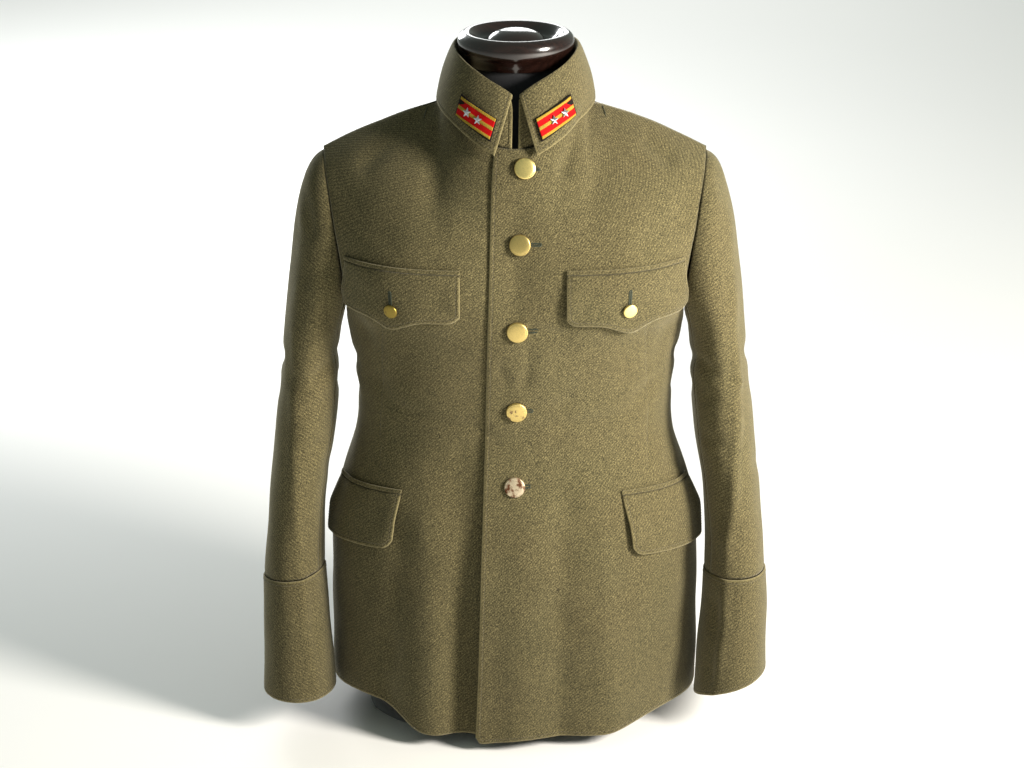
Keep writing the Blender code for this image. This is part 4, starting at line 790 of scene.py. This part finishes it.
def crease_heights(points, normals, strength):
    """How far the creases and the soft waves move each point out, in metres."""
    total = np.zeros(len(points))
    up = points[:, 2]
    for crease in CREASES:
        way, axis = FACING[crease.side]
        facing = np.clip(normals @ np.array(way) * FACING_GAIN - FACING_LOSS, 0, 1)
        gap = path_distance(points[:, axis], up, crease.path)
        # Each crease swells and thins along its length, so no two of them are alike
        swell = up * SWELL_UP + points[:, axis] * SWELL_ACROSS + crease.width * SWELL_START
        uneven = 1 + SWELL * np.sin(swell)
        total += facing * uneven * crease.height * MM * np.exp(-((gap / crease.width) ** 2))
    for wave in WAVES:
        way = np.array(wave.way) / np.linalg.norm(wave.way)
        total += wave.height * MM * np.sin(points @ way * math.tau / wave.length)
    return total * strength


def lap_heights(points, lap):
    """How far a front moves out or back beside the edge of the overlap, in metres."""
    low = np.clip((LAP_TOP - points[:, 2]) / (LAP_TOP - LAP_FULL_BELOW), 0, 1)
    low = low * low * (3 - 2 * low)
    away = (points[:, 0] - lap.middle) / lap.width
    return lap.height * low * np.exp(-(away**2))


def round_corner(mesh):
    """Draws the square lower corner of the overlapping front up to a round one."""
    points, _ = mesh_arrays(mesh)
    corner = points[np.argmin(points[:, 0] + points[:, 2])]
    inside = np.clip(CORNER_RADIUS - (points[:, 0] - corner[0]), 0, CORNER_RADIUS)
    rise = CORNER_RADIUS - np.sqrt(CORNER_RADIUS**2 - inside**2)
    near = np.clip(1 - (points[:, 2] - corner[2]) / CORNER_REACH, 0, 1)
    points[:, 2] += rise * near
    mesh.vertices.foreach_set("co", points.ravel())
    mesh.update()


def mesh_arrays(mesh):
    points = np.array([v.co[:] for v in mesh.vertices])
    normals = np.array([v.normal[:] for v in mesh.vertices])
    return points, normals


def push_out(mesh, heights):
    """Moves each vertex along its normal by its own height."""
    points, normals = mesh_arrays(mesh)
    moved = points + normals * np.asarray(heights)[:, None]
    mesh.vertices.foreach_set("co", moved.ravel())
    mesh.update()


def store(mesh, name, values):
    attribute = mesh.attributes.new(name, "FLOAT", "POINT")
    attribute.data.foreach_set("value", values.astype(np.float32))


def crease_cloth(obj, node, cloth):
    """Creases a smooth skin, rolls in its seams and marks its edges for the material."""
    mesh = obj.data
    if node == "front_left":
        round_corner(mesh)
    free, sewn = borders(mesh, node)
    from_edge = distances(mesh, free)
    from_seam = distances(mesh, sewn)
    points, normals = mesh_arrays(mesh)
    if node.startswith("front"):
        for path in DARTS:
            front = normals[:, 1] < 0
            dart = path_distance(points[:, 0], points[:, 2], path) / MM
            shallow = np.minimum(from_seam, dart + DART_SHALLOWER)
            from_seam = np.where(front, shallow, from_seam)
    heights = crease_heights(points, normals, cloth.crease)
    heights -= SEAM_SINK * np.exp(-((from_seam / SEAM_REACH) ** 2))
    if node in LAPS:
        heights += lap_heights(points, LAPS[node])
    if "flap" in node:
        hang = np.clip(from_seam / FLAP_HANG, 0, 1) ** 2
        heights += FLAP_LIFT * hang * np.exp(-((from_edge / FLAP_CURL) ** 2))
    if "welt" in node:
        from_edge += WELT_PALE_EDGE_LESS
    push_out(mesh, heights)
    store(mesh, "from_edge", from_edge)
    store(mesh, "from_seam", from_seam)


def thicken(obj, thickness):
    """Gives a cloth skin its thickness inwards."""
    wall = obj.modifiers.new("Thickness", "SOLIDIFY")
    wall.thickness = thickness
    wall.offset = -1.0
    wall.use_rim = True


def round_rims(obj):
    """Softly rounds the rims of a thickened skin."""
    rounder = obj.modifiers.new("Rounded rim", "BEVEL")
    rounder.width = 0.45 * MM
    rounder.segments = 2
    rounder.profile = 0.5
    rounder.limit_method = "ANGLE"
    rounder.angle_limit = math.radians(60)
    rounder.harden_normals = False


def lay_cloth(node, piece, cloth, wool):
    """One cloth piece in place of its plain solid."""
    side = -1 if node.endswith("right") else 1
    bm = outer_skin(node)
    obj = subdivided(node + "_cloth", bm, piece.levels)
    unwrap(obj.data, piece.wrap, side)
    crease_cloth(obj, node, cloth)
    made[node] = BVHTree.FromPolygons(
        [v.co for v in obj.data.vertices], [tuple(f.vertices) for f in obj.data.polygons]
    )
    thicken(obj, cloth.thickness)
    round_rims(obj)
    obj.data.materials.append(wool)
    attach(obj, "root")
    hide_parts(node)
    return obj


def main_wool():
    return bpy.data.materials.get("olive_wool_twill") or wool_twill(bpy.context.scene.tunic_cloth)


class TUNIC_OT_body(bpy.types.Operator):
    """Lays the two fronts and two backs"""

    bl_idname = "tunic.body"
    bl_label = "Fronts and Backs"

    def execute(self, context):
        for node, piece in BODY_PIECES.items():
            lay_cloth(node, piece, context.scene.tunic_cloth, main_wool())
        return {"FINISHED"}


class TUNIC_OT_sleeves(bpy.types.Operator):
    """Lays the two-piece sleeves and their cuffs"""

    bl_idname = "tunic.sleeves"
    bl_label = "Sleeves and Cuffs"

    def execute(self, context):
        for word in SIDES:
            for name, piece in SLEEVE_PIECES.items():
                lay_cloth(f"{name}_{word}", piece, context.scene.tunic_cloth, main_wool())
        return {"FINISHED"}


class TUNIC_OT_collar(bpy.types.Operator):
    """Lays the collar's stand and the fall turned down over it"""

    bl_idname = "tunic.collar"
    bl_label = "Collar"

    def execute(self, context):
        for node, piece in COLLAR_PIECES.items():
            lay_cloth(node, piece, context.scene.tunic_cloth, main_wool())
        return {"FINISHED"}


class TUNIC_OT_pockets(bpy.types.Operator):
    """Lays the pocket flaps and the welts above them"""

    bl_idname = "tunic.pockets"
    bl_label = "Pocket Flaps"

    def execute(self, context):
        for word in SIDES:
            for name, piece in POCKET_PIECES.items():
                lay_cloth(f"{name}_{word}", piece, context.scene.tunic_cloth, main_wool())
        return {"FINISHED"}


def border_chains(mesh, node):
    """Runs of border vertices along the free edges, in order."""
    uses = {}
    for face in mesh.polygons:
        for key in face.edge_keys:
            uses[key] = uses.get(key, 0) + 1
    nexts = {}
    for (a, b), count in uses.items():
        middle = (mesh.vertices[a].co + mesh.vertices[b].co) / 2
        if count == 1 and is_open_edge(node, middle):
            nexts.setdefault(a, []).append(b)
            nexts.setdefault(b, []).append(a)
    chains = []
    while nexts:
        ends = [v for v, others in nexts.items() if len(others) == 1]
        here = ends[0] if ends else next(iter(nexts))
        chain = [here]
        while nexts.get(here):
            there = nexts[here].pop()
            nexts[there].remove(here)
            if not nexts[here]:
                del nexts[here]
            chain.append(there)
            here = there
        nexts.pop(here, None)
        chains.append([mesh.vertices[v].co.copy() for v in chain])
    return chains


def walk(points, pitch):
    """Places at an even pitch along a line of points: (place, direction)."""
    found = []
    carried = pitch / 2
    for start, end in zip(points, points[1:]):
        length = (end - start).length
        while carried < length:
            found.append((start.lerp(end, carried / length), (end - start).normalized()))
            carried += pitch
        carried -= length
    return found


def add_stitch(bm, place, along, normal, half):
    """One stitch: a short spindle of thread, half sunk in the cloth."""
    across = normal.cross(along).normalized()
    turn = Matrix((along, across, normal)).transposed().to_4x4()
    size = Matrix.Diagonal((half.x, half.y, half.z, 1))
    matrix = Matrix.Translation(place) @ turn @ size
    bmesh.ops.create_uvsphere(bm, u_segments=6, v_segments=4, radius=1, matrix=matrix)


def finish_thread(name, bm, material):
    """Turns a mesh of stitches into a finished piece that rides with the tunic."""
    mesh = bpy.data.meshes.new(name)
    bm.to_mesh(mesh)
    bm.free()
    mesh.shade_smooth()
    mesh.materials.append(material)
    obj = link(bpy.data.objects.new(name, mesh))
    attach(obj, "root")
    return obj


# A stitch's half length, width and height, and how far it stands up. It is left out where the
# cloth isn't near the place wanted, or its edge is nearer, both as shares of the inset
STITCH_HALF = Vector((1.25 * MM, 0.30 * MM, 0.24 * MM))
STITCH_RISE = 0.05 * MM
STITCH_OFF = 0.4
STITCH_INSIDE = 0.9
STITCHED = (
    "front_left",
    "collar_fall",
    "breast_flap_left",
    "breast_flap_right",
    "lower_flap_left",
    "lower_flap_right",
    "cuff_left",
    "cuff_right",
)


class TUNIC_OT_topstitching(bpy.types.Operator):
    """Sews the line of stitches inside the free edges"""

    bl_idname = "tunic.topstitching"
    bl_label = "Topstitching"

    def execute(self, context):
        cloth = context.scene.tunic_cloth
        material = sewing_thread("khaki_cotton_thread", cloth.thread)
        for node in STITCHED:
            mesh = bpy.data.objects[node + "_cloth"].data
            chains = border_chains(mesh, node)
            edge = [point for chain in chains for point, _ in walk(chain, 0.5 * MM)]
            tree = KDTree(len(edge))
            for index, point in enumerate(edge):
                tree.insert(point, index)
            tree.balance()
            bm = bmesh.new()
            for chain in chains:
                for place, along in walk(chain, cloth.stitch_pitch):
                    self.sew(bm, made[node], tree, place, along, cloth.stitch_inset)
            finish_thread("topstitching_" + node, bm, material)
        return {"FINISHED"}

    def sew(self, bm, skin, edge, place, along, inset):
        _, normal, _, _ = skin.find_nearest(place)
        inward = normal.cross(along).normalized()
        for way in (inward, -inward):
            point, face_normal, _, gap = skin.find_nearest(place + way * inset)
            if gap < inset * STITCH_OFF and edge.find(point)[2] > inset * STITCH_INSIDE:
                along = (along - face_normal * along.dot(face_normal)).normalized()
                add_stitch(bm, point + face_normal * STITCH_RISE, along, face_normal, STITCH_HALF)


# Buttonholes: the cloth they are cut in, the button's node, their way and how far they show
Hole = namedtuple("Hole", "cloth button way start length")
ACROSS = Vector((1, 0, 0))
UP = Vector((0, 0, 1))
HOLES = (
    Hole("front_left", "front_button_1", ACROSS, 0.002, 0.0125),
    Hole("front_left", "front_button_2", ACROSS, 0.002, 0.0180),
    Hole("front_left", "front_button_3", ACROSS, 0.002, 0.0170),
    Hole("front_left", "front_button_4", ACROSS, 0.002, 0.0135),
    Hole("front_left", "front_button_5", ACROSS, 0.002, 0.0135),
    Hole("breast_flap_left", "pocket_button_left", UP, 0.001, 0.0200),
    Hole("breast_flap_right", "pocket_button_right", UP, 0.001, 0.0195),
)
HOLE_HALF = Vector((1.15 * MM, 0.32 * MM, 0.42 * MM))
HOLE_PITCH = 0.62 * MM
HOLE_WIDTH = 1.05 * MM


class TUNIC_OT_buttonholes(bpy.types.Operator):
    """Works silk round each buttonhole, and a thread loop at the shoulder"""

    bl_idname = "tunic.buttonholes"
    bl_label = "Buttonholes"

    def execute(self, context):
        cloth = context.scene.tunic_cloth
        material = sewing_thread("green_buttonhole_silk", cloth.hole_thread)
        for hole in HOLES:
            bm = bmesh.new()
            start = node_middle(hole.button) + hole.way * hole.start
            path = self.outline(start, hole.way, hole.length)
            skin = made[hole.cloth]
            for place, along in walk(path, HOLE_PITCH):
                point, normal, _, _ = skin.find_nearest(place)
                across = normal.cross(along).normalized()
                add_stitch(bm, point + normal * 0.1 * MM, across, normal, HOLE_HALF)
            finish_thread("buttonhole_" + hole.button, bm, material)
        self.shoulder_loops(made, material)
        return {"FINISHED"}

    def outline(self, start, way, length):
        """A slit's outline: out along one side, round the far end and back."""
        aside = Vector((0, 0, 1)) if way.x else Vector((1, 0, 0))
        points = [start + aside * HOLE_WIDTH, start + way * length + aside * HOLE_WIDTH]
        for k in range(1, 8):
            turn = math.pi * k / 8
            reach = way * math.sin(turn) + aside * math.cos(turn)
            points.append(start + way * length + reach * HOLE_WIDTH * 1.25)
        points += [start + way * length - aside * HOLE_WIDTH, start - aside * HOLE_WIDTH]
        return points

    def shoulder_loops(self, skins, material):
        """A bar of thread on each shoulder, close to the collar."""
        for word, side in SIDES.items():
            bm = bmesh.new()
            skin = skins["front_" + word]
            for k in range(17):
                wanted = Vector((side * (0.0905 + 0.0002 * k), -0.004 - 0.0008 * k, 0.690))
                point, normal, _, _ = skin.ray_cast(wanted, Vector((0, 0, -1)))
                along = Vector((0, 1, 0.2)).normalized()
                along = (along - normal * along.dot(normal)).normalized()
                rise = 0.8 * MM * math.sin(math.pi * k / 16)
                add_stitch(bm, point + normal * rise, along, normal, HOLE_HALF)
            finish_thread("shoulder_loop_" + word, bm, material)


def node_points(node):
    return [v.co.copy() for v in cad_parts[node].data.vertices]


def node_middle(node):
    points = node_points(node)
    return sum(points, Vector()) / len(points)


def node_box(node):
    points = node_points(node)
    low = Vector([min(p[k] for p in points) for k in range(3)])
    high = Vector([max(p[k] for p in points) for k in range(3)])
    return low, high


def button_placement(node):
    """Where a button's flat back lies, with +Z out of the cloth."""
    points = np.array([p[:] for p in node_points(node)])
    middle = points.mean(axis=0)
    _, _, ways = np.linalg.svd(points - middle)
    normal = Vector(ways[2])
    if normal.y > 0:
        normal.negate()
    low = min(normal.dot(Vector(p - middle)) for p in points)
    place = Vector(middle) + normal * low
    return Matrix.Translation(place) @ normal.to_track_quat("Z", "Y").to_matrix().to_4x4()


# A button from its top to its back, as shares of its radius: (out, up)
BUTTON_PROFILE = (
    (0.000, 0.385),
    (0.250, 0.382),
    (0.500, 0.371),
    (0.700, 0.352),
    (0.800, 0.335),
    (0.835, 0.318),
    (0.862, 0.318),
    (0.905, 0.318),
    (0.955, 0.275),
    (0.988, 0.205),
    (1.000, 0.130),
    (0.985, 0.060),
    (0.930, 0.010),
    (0.800, 0.000),
    (0.000, 0.000),
)
Finish = namedtuple("Finish", "metal stain stained roughness pitted")
# Two buttons take the paler brass that is a painted highlight for their glare
BUTTON_FINISH = {
    "front_button_1": Finish("bright", "tarnish", 0.00, 0.34, 0.20),
    "front_button_2": Finish("brass", "tarnish", 0.04, 0.40, 0.30),
    "front_button_3": Finish("brass", "tarnish", 0.02, 0.42, 0.30),
    "front_button_4": Finish("brass", "tarnish", 0.24, 0.42, 0.45),
    "front_button_5": Finish("bare", "rust", 0.44, 0.50, 0.80),
    "pocket_button_left": Finish("bright", "tarnish", 0.00, 0.36, 0.25),
    "pocket_button_right": Finish("dull", "tarnish", 0.12, 0.40, 0.35),
}
FRONT_RADIUS = 11.0 * MM
POCKET_RADIUS = 7.6 * MM
BUTTON_SIDES = 56


def turned(profile, sides):
    """A mesh turned round +Z from points of its profile, with no join left open."""
    bm = bmesh.new()
    verts = [bm.verts.new((radius, 0, height)) for radius, height in profile]
    line = [bm.edges.new(pair) for pair in zip(verts, verts[1:])]
    bmesh.ops.spin(
        bm,
        geom=verts + line,
        cent=(0, 0, 0),
        axis=(0, 0, 1),
        angle=math.tau,
        steps=sides,
        use_merge=True,
    )
    bmesh.ops.remove_doubles(bm, verts=bm.verts, dist=0.005 * MM)
    bmesh.ops.recalc_face_normals(bm, faces=bm.faces)
    return bm


def turned_object(name, bm, sharp, material):
    """A turned piece as a smooth object, with edges over an angle kept sharp."""
    mesh = bpy.data.meshes.new(name)
    bm.to_mesh(mesh)
    bm.free()
    mesh.shade_smooth()
    mesh.set_sharp_from_angle(angle=math.radians(sharp))
    mesh.materials.append(material)
    return link(bpy.data.objects.new(name, mesh))


class TUNIC_OT_buttons(bpy.types.Operator):
    """Turns the domed brass buttons, each with its own wear"""

    bl_idname = "tunic.buttons"
    bl_label = "Buttons"

    def execute(self, context):
        trim = context.scene.tunic_trim
        for node, finish in BUTTON_FINISH.items():
            radius = FRONT_RADIUS if node.startswith("front") else POCKET_RADIUS
            bm = turned([(r * radius, h * radius) for r, h in BUTTON_PROFILE], BUTTON_SIDES)
            bmesh.ops.transform(bm, matrix=button_placement(node), verts=bm.verts)
            metal, stain = getattr(trim, finish.metal), getattr(trim, finish.stain)
            name = node.replace("_button", "") + "_brass"
            brass = stamped_brass(
                name, metal, stain, finish.stained, finish.roughness, finish.pitted
            )
            obj = turned_object(node + "_brass", bm, 50, brass)
            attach(obj, "root")
            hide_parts(node)
        return {"FINISHED"}


# Bands across a rank tab, as shares of its height: where each starts, and 1 for braid
BRAID_STEPS = ((0.135, 0), (0.42, 1), (0.58, 0), (0.865, 1))
BRAID_RISE = 0.35 * MM
FELT_THICKNESS = 1.0 * MM
# The black felt is grown past the tab so that it shows round it, partly as painted shadow
BACKING_AND_SHADOW_LONGER = 1.05
BACKING_AND_SHADOW_HIGHER = 1.08


class TUNIC_OT_rank_tabs(bpy.types.Operator):
    """Lays the braided rank tabs on their black felt, which shows round them partly as painted shadow,
    and silvers the stars
    """

    bl_idname = "tunic.rank_tabs"
    bl_label = "Rank Tabs"

    def execute(self, context):
        trim = context.scene.tunic_trim
        felt = braided_felt(trim)
        black = black_felt(trim)
        silver = silvered_metal(trim)
        for word, side in SIDES.items():
            node = "rank_tab_" + word
            bm = outer_skin(node)
            self.map_tab(bm, side)
            obj = subdivided(node + "_braided", bm, 3)
            self.raise_braid(obj.data)
            thicken(obj, FELT_THICKNESS)
            obj.data.materials.append(felt)
            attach(obj, "root")
            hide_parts(node)
            self.backing(node, black)
            for number in (1, 2):
                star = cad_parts[f"star_{word}_{number}"]
                star.data.materials.clear()
                star.data.materials.append(silver)
        return {"FINISHED"}

    def map_tab(self, bm, side):
        """UVs along the tab from its front end, and down it."""
        bm.verts.ensure_lookup_table()
        corners = [v.co for v in bm.verts if len(v.link_edges) == 2]
        front = sorted(corners, key=lambda c: side * c.x)
        top = max(front[:2], key=lambda c: c.z)
        foot = min(front[:2], key=lambda c: c.z)
        far = max(front[2:], key=lambda c: c.z)
        along, down = far - top, foot - top
        layer = bm.loops.layers.uv.new("tab")
        for face in bm.faces:
            for loop in face.loops:
                way = loop.vert.co - top
                aa, dd, ad = along.dot(along), down.dot(down), along.dot(down)
                wa, wd = way.dot(along), way.dot(down)
                scale = aa * dd - ad * ad
                loop[layer].uv = ((wa * dd - wd * ad) / scale, (wd * aa - wa * ad) / scale)

    def raise_braid(self, mesh):
        """Lifts the braid above the felt."""
        down = {}
        for face in mesh.polygons:
            for loop, vertex in zip(face.loop_indices, face.vertices):
                down[vertex] = mesh.uv_layers[0].data[loop].uv.y
        heights = []
        for vertex in mesh.vertices:
            level = 1
            for position, value in BRAID_STEPS:
                if down[vertex.index] > position:
                    level = value
            heights.append(BRAID_RISE * level)
        push_out(mesh, heights)

    def backing(self, node, black):
        """A black layer that shows as a line round the upper and front edges: partly the tab's real
        black felt, partly painted shadow.
        """
        bm = outer_skin(node)
        obj = subdivided(node + "_backing", bm, 2)
        mesh = obj.data
        push_out(mesh, np.full(len(mesh.vertices), -0.4 * MM))
        middle = sum((v.co for v in mesh.vertices), Vector()) / len(mesh.vertices)
        grow = Matrix.Scale(BACKING_AND_SHADOW_LONGER, 4) @ Matrix.Scale(BACKING_AND_SHADOW_HIGHER, 4, Vector((0, 0, 1)))
        mesh.transform(Matrix.Translation(middle) @ grow @ Matrix.Translation(-middle))
        thicken(obj, 0.5 * MM)
        mesh.materials.append(black)
        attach(obj, "root")


# The neck cap from its crown to its underside: (radius, height)
CAP_PROFILE = (
    (0.0000, 0.7575),
    (0.0120, 0.7567),
    (0.0210, 0.7540),
    (0.0280, 0.7492),
    (0.0310, 0.7450),
    (0.0370, 0.7440),
    (0.0415, 0.7462),
    (0.0450, 0.7510),
    (0.0490, 0.7547),
    (0.0540, 0.7546),
    (0.0585, 0.7510),
    (0.0603, 0.7450),
    (0.0592, 0.7380),
    (0.0562, 0.7320),
    (0.0550, 0.7260),
    (0.0540, 0.7233),
    (0.0000, 0.7233),
)
CAP_LIFT = 0.3 * MM
CAP_SIDES = 96


class TUNIC_OT_dress_form(bpy.types.Operator):
    """Covers the torso in jersey and turns the lacquered neck cap"""

    bl_idname = "tunic.dress_form"
    bl_label = "Dress Form"

    def execute(self, context):
        form = context.scene.tunic_form
        bm = bmesh.new()
        bm.from_mesh(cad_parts["form_torso"].data)
        bmesh.ops.remove_doubles(bm, verts=bm.verts, dist=MERGE)
        crease = bm.edges.layers.float.new("crease_edge")
        for edge in bm.edges:
            if all(v.co.z < 0.5 * MM for v in edge.verts):
                edge[crease] = 1.0
        bmesh.ops.join_triangles(
            bm,
            faces=bm.faces[:],
            angle_face_threshold=math.radians(60),
            angle_shape_threshold=math.radians(100),
        )
        torso = subdivided("form_torso_jersey", bm, 2)
        points, _ = mesh_arrays(torso.data)
        push_out(torso.data, np.where(points[:, 2] > 2 * MM, -0.6 * MM, 0))
        torso.data.materials.append(knitted_jersey(form))
        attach(torso, "root")
        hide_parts("form_torso")
        self.cap(form)
        return {"FINISHED"}

    def cap(self, form):
        bm = turned(self.fine_profile(), CAP_SIDES)
        low, high = node_box("neck_cap")
        middle = (low + high) / 2
        bmesh.ops.translate(bm, verts=bm.verts, vec=Vector((middle.x, middle.y, CAP_LIFT)))
        cap = turned_object("neck_cap_lacquered", bm, 55, lacquered_wood(form))
        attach(cap, "root")
        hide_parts("neck_cap")

    def fine_profile(self):
        """The profile with points between its rows, rounded, and its foot left square."""
        rows = CAP_PROFILE
        last_round = len(rows) - 3
        points = []
        for k in range(last_round):
            before, start = rows[max(k - 1, 0)], rows[k]
            end, after = rows[k + 1], rows[min(k + 2, last_round)]
            for step in range(4):
                t = step / 4
                point = []
                for p0, p1, p2, p3 in zip(before, start, end, after):
                    bend = 2 * p1 + (p2 - p0) * t
                    bend += (2 * p0 - 5 * p1 + 4 * p2 - p3) * t**2
                    bend += (3 * p1 - p0 - 3 * p2 + p3) * t**3
                    point.append(bend / 2)
                points.append((max(0.0, point[0]), point[1]))
        return points + list(rows[last_round:])


Lamp = namedtuple("Lamp", "name watts radius place colour")


class TUNIC_OT_stage(bpy.types.Operator):
    """Sets the floor, the light and the camera"""

    bl_idname = "tunic.stage"
    bl_label = "Stage"

    def execute(self, context):
        stage = context.scene.tunic_stage
        bm = bmesh.new()
        bmesh.ops.create_grid(bm, x_segments=1, y_segments=1, size=20)
        mesh = bpy.data.meshes.new("floor")
        bm.to_mesh(mesh)
        bm.free()
        material, tree, shader = new_material("pale_floor")
        mottle = noise(tree, place_of(tree), 2.0, 2.0)
        tone = blend(tree, mottle, stage.floor, shaded(stage.floor, 0.98))
        set_shader(tree, shader, Base_Color=tone, Roughness=0.8)
        mesh.materials.append(material)
        floor = link(bpy.data.objects.new("floor", mesh))
        self.lights(context.scene, stage)
        self.camera(context.scene, stage)
        return {"FINISHED"}

    def lights(self, scene, stage):
        for lamp in (
            Lamp("key", stage.key, 0.30, (1.60, -1.02, 1.15), (1.0, 0.95, 0.87)),
            Lamp("rear", stage.rear, 0.55, (-0.9, 2.1, 1.15), (0.97, 0.98, 1.0)),
            Lamp("far", stage.far, 0.80, (0.2, 4.4, 1.90), (1.0, 1.0, 1.0)),
        ):
            light = bpy.data.lights.new(lamp.name, "POINT")
            light.shadow_soft_size = lamp.radius
            light.energy = lamp.watts
            light.color = lamp.colour
            obj = link(bpy.data.objects.new(lamp.name, light))
            obj.location = lamp.place
        world = bpy.data.worlds.new("even_light")
        world.use_nodes = True
        sky = world.node_tree.nodes["Background"]
        sky.inputs["Color"].default_value = (0.86, 1.0, 0.90, 1)
        sky.inputs["Strength"].default_value = stage.fill
        scene.world = world
        scene.view_settings.view_transform = "Standard"

    def camera(self, scene, stage):
        camera = bpy.data.cameras.new("camera")
        camera.lens = stage.lens
        camera.sensor_width = 36
        camera.dof.use_dof = False
        obj = link(bpy.data.objects.new("camera", camera))
        back = stage.distance * math.cos(stage.pitch)
        rise = stage.distance * math.sin(stage.pitch)
        obj.location = (stage.across, -back, stage.target + rise)
        obj.rotation_euler = (math.pi / 2 - stage.pitch, 0, 0)
        scene.camera = obj


class VIEW3D_PT_tunic(bpy.types.Panel):
    """Sizes, colours and pieces of the tunic"""

    bl_label = "Officer's Tunic"
    bl_space_type = "VIEW_3D"
    bl_region_type = "UI"
    bl_category = "Tunic"

    def draw(self, context):
        layout = self.layout
        for group in ("tunic_cloth", "tunic_trim", "tunic_form", "tunic_stage"):
            settings = getattr(context.scene, group)
            box = layout.box()
            for name in settings.bl_rna.properties.keys():
                if name not in ("rna_type", "name"):
                    box.prop(settings, name)
        for operator in OPERATORS:
            layout.operator(operator.bl_idname)


GROUPS = {
    "tunic_cloth": TunicCloth,
    "tunic_trim": TunicTrim,
    "tunic_form": TunicForm,
    "tunic_stage": TunicStage,
}
OPERATORS = (
    TUNIC_OT_body,
    TUNIC_OT_sleeves,
    TUNIC_OT_collar,
    TUNIC_OT_pockets,
    TUNIC_OT_topstitching,
    TUNIC_OT_buttonholes,
    TUNIC_OT_buttons,
    TUNIC_OT_rank_tabs,
    TUNIC_OT_dress_form,
    TUNIC_OT_stage,
)


def register():
    for name, group in GROUPS.items():
        bpy.utils.register_class(group)
        setattr(bpy.types.Scene, name, PointerProperty(type=group))
    for operator in OPERATORS:
        bpy.utils.register_class(operator)
    bpy.utils.register_class(VIEW3D_PT_tunic)


def unregister():
    bpy.utils.unregister_class(VIEW3D_PT_tunic)
    for operator in reversed(OPERATORS):
        bpy.utils.unregister_class(operator)
    for name, group in GROUPS.items():
        delattr(bpy.types.Scene, name)
        bpy.utils.unregister_class(group)


def main():
    register()
    for operator in OPERATORS:
        group, name = operator.bl_idname.split(".")
        getattr(getattr(bpy.ops, group), name)()


if __name__ == "__main__":
    main()
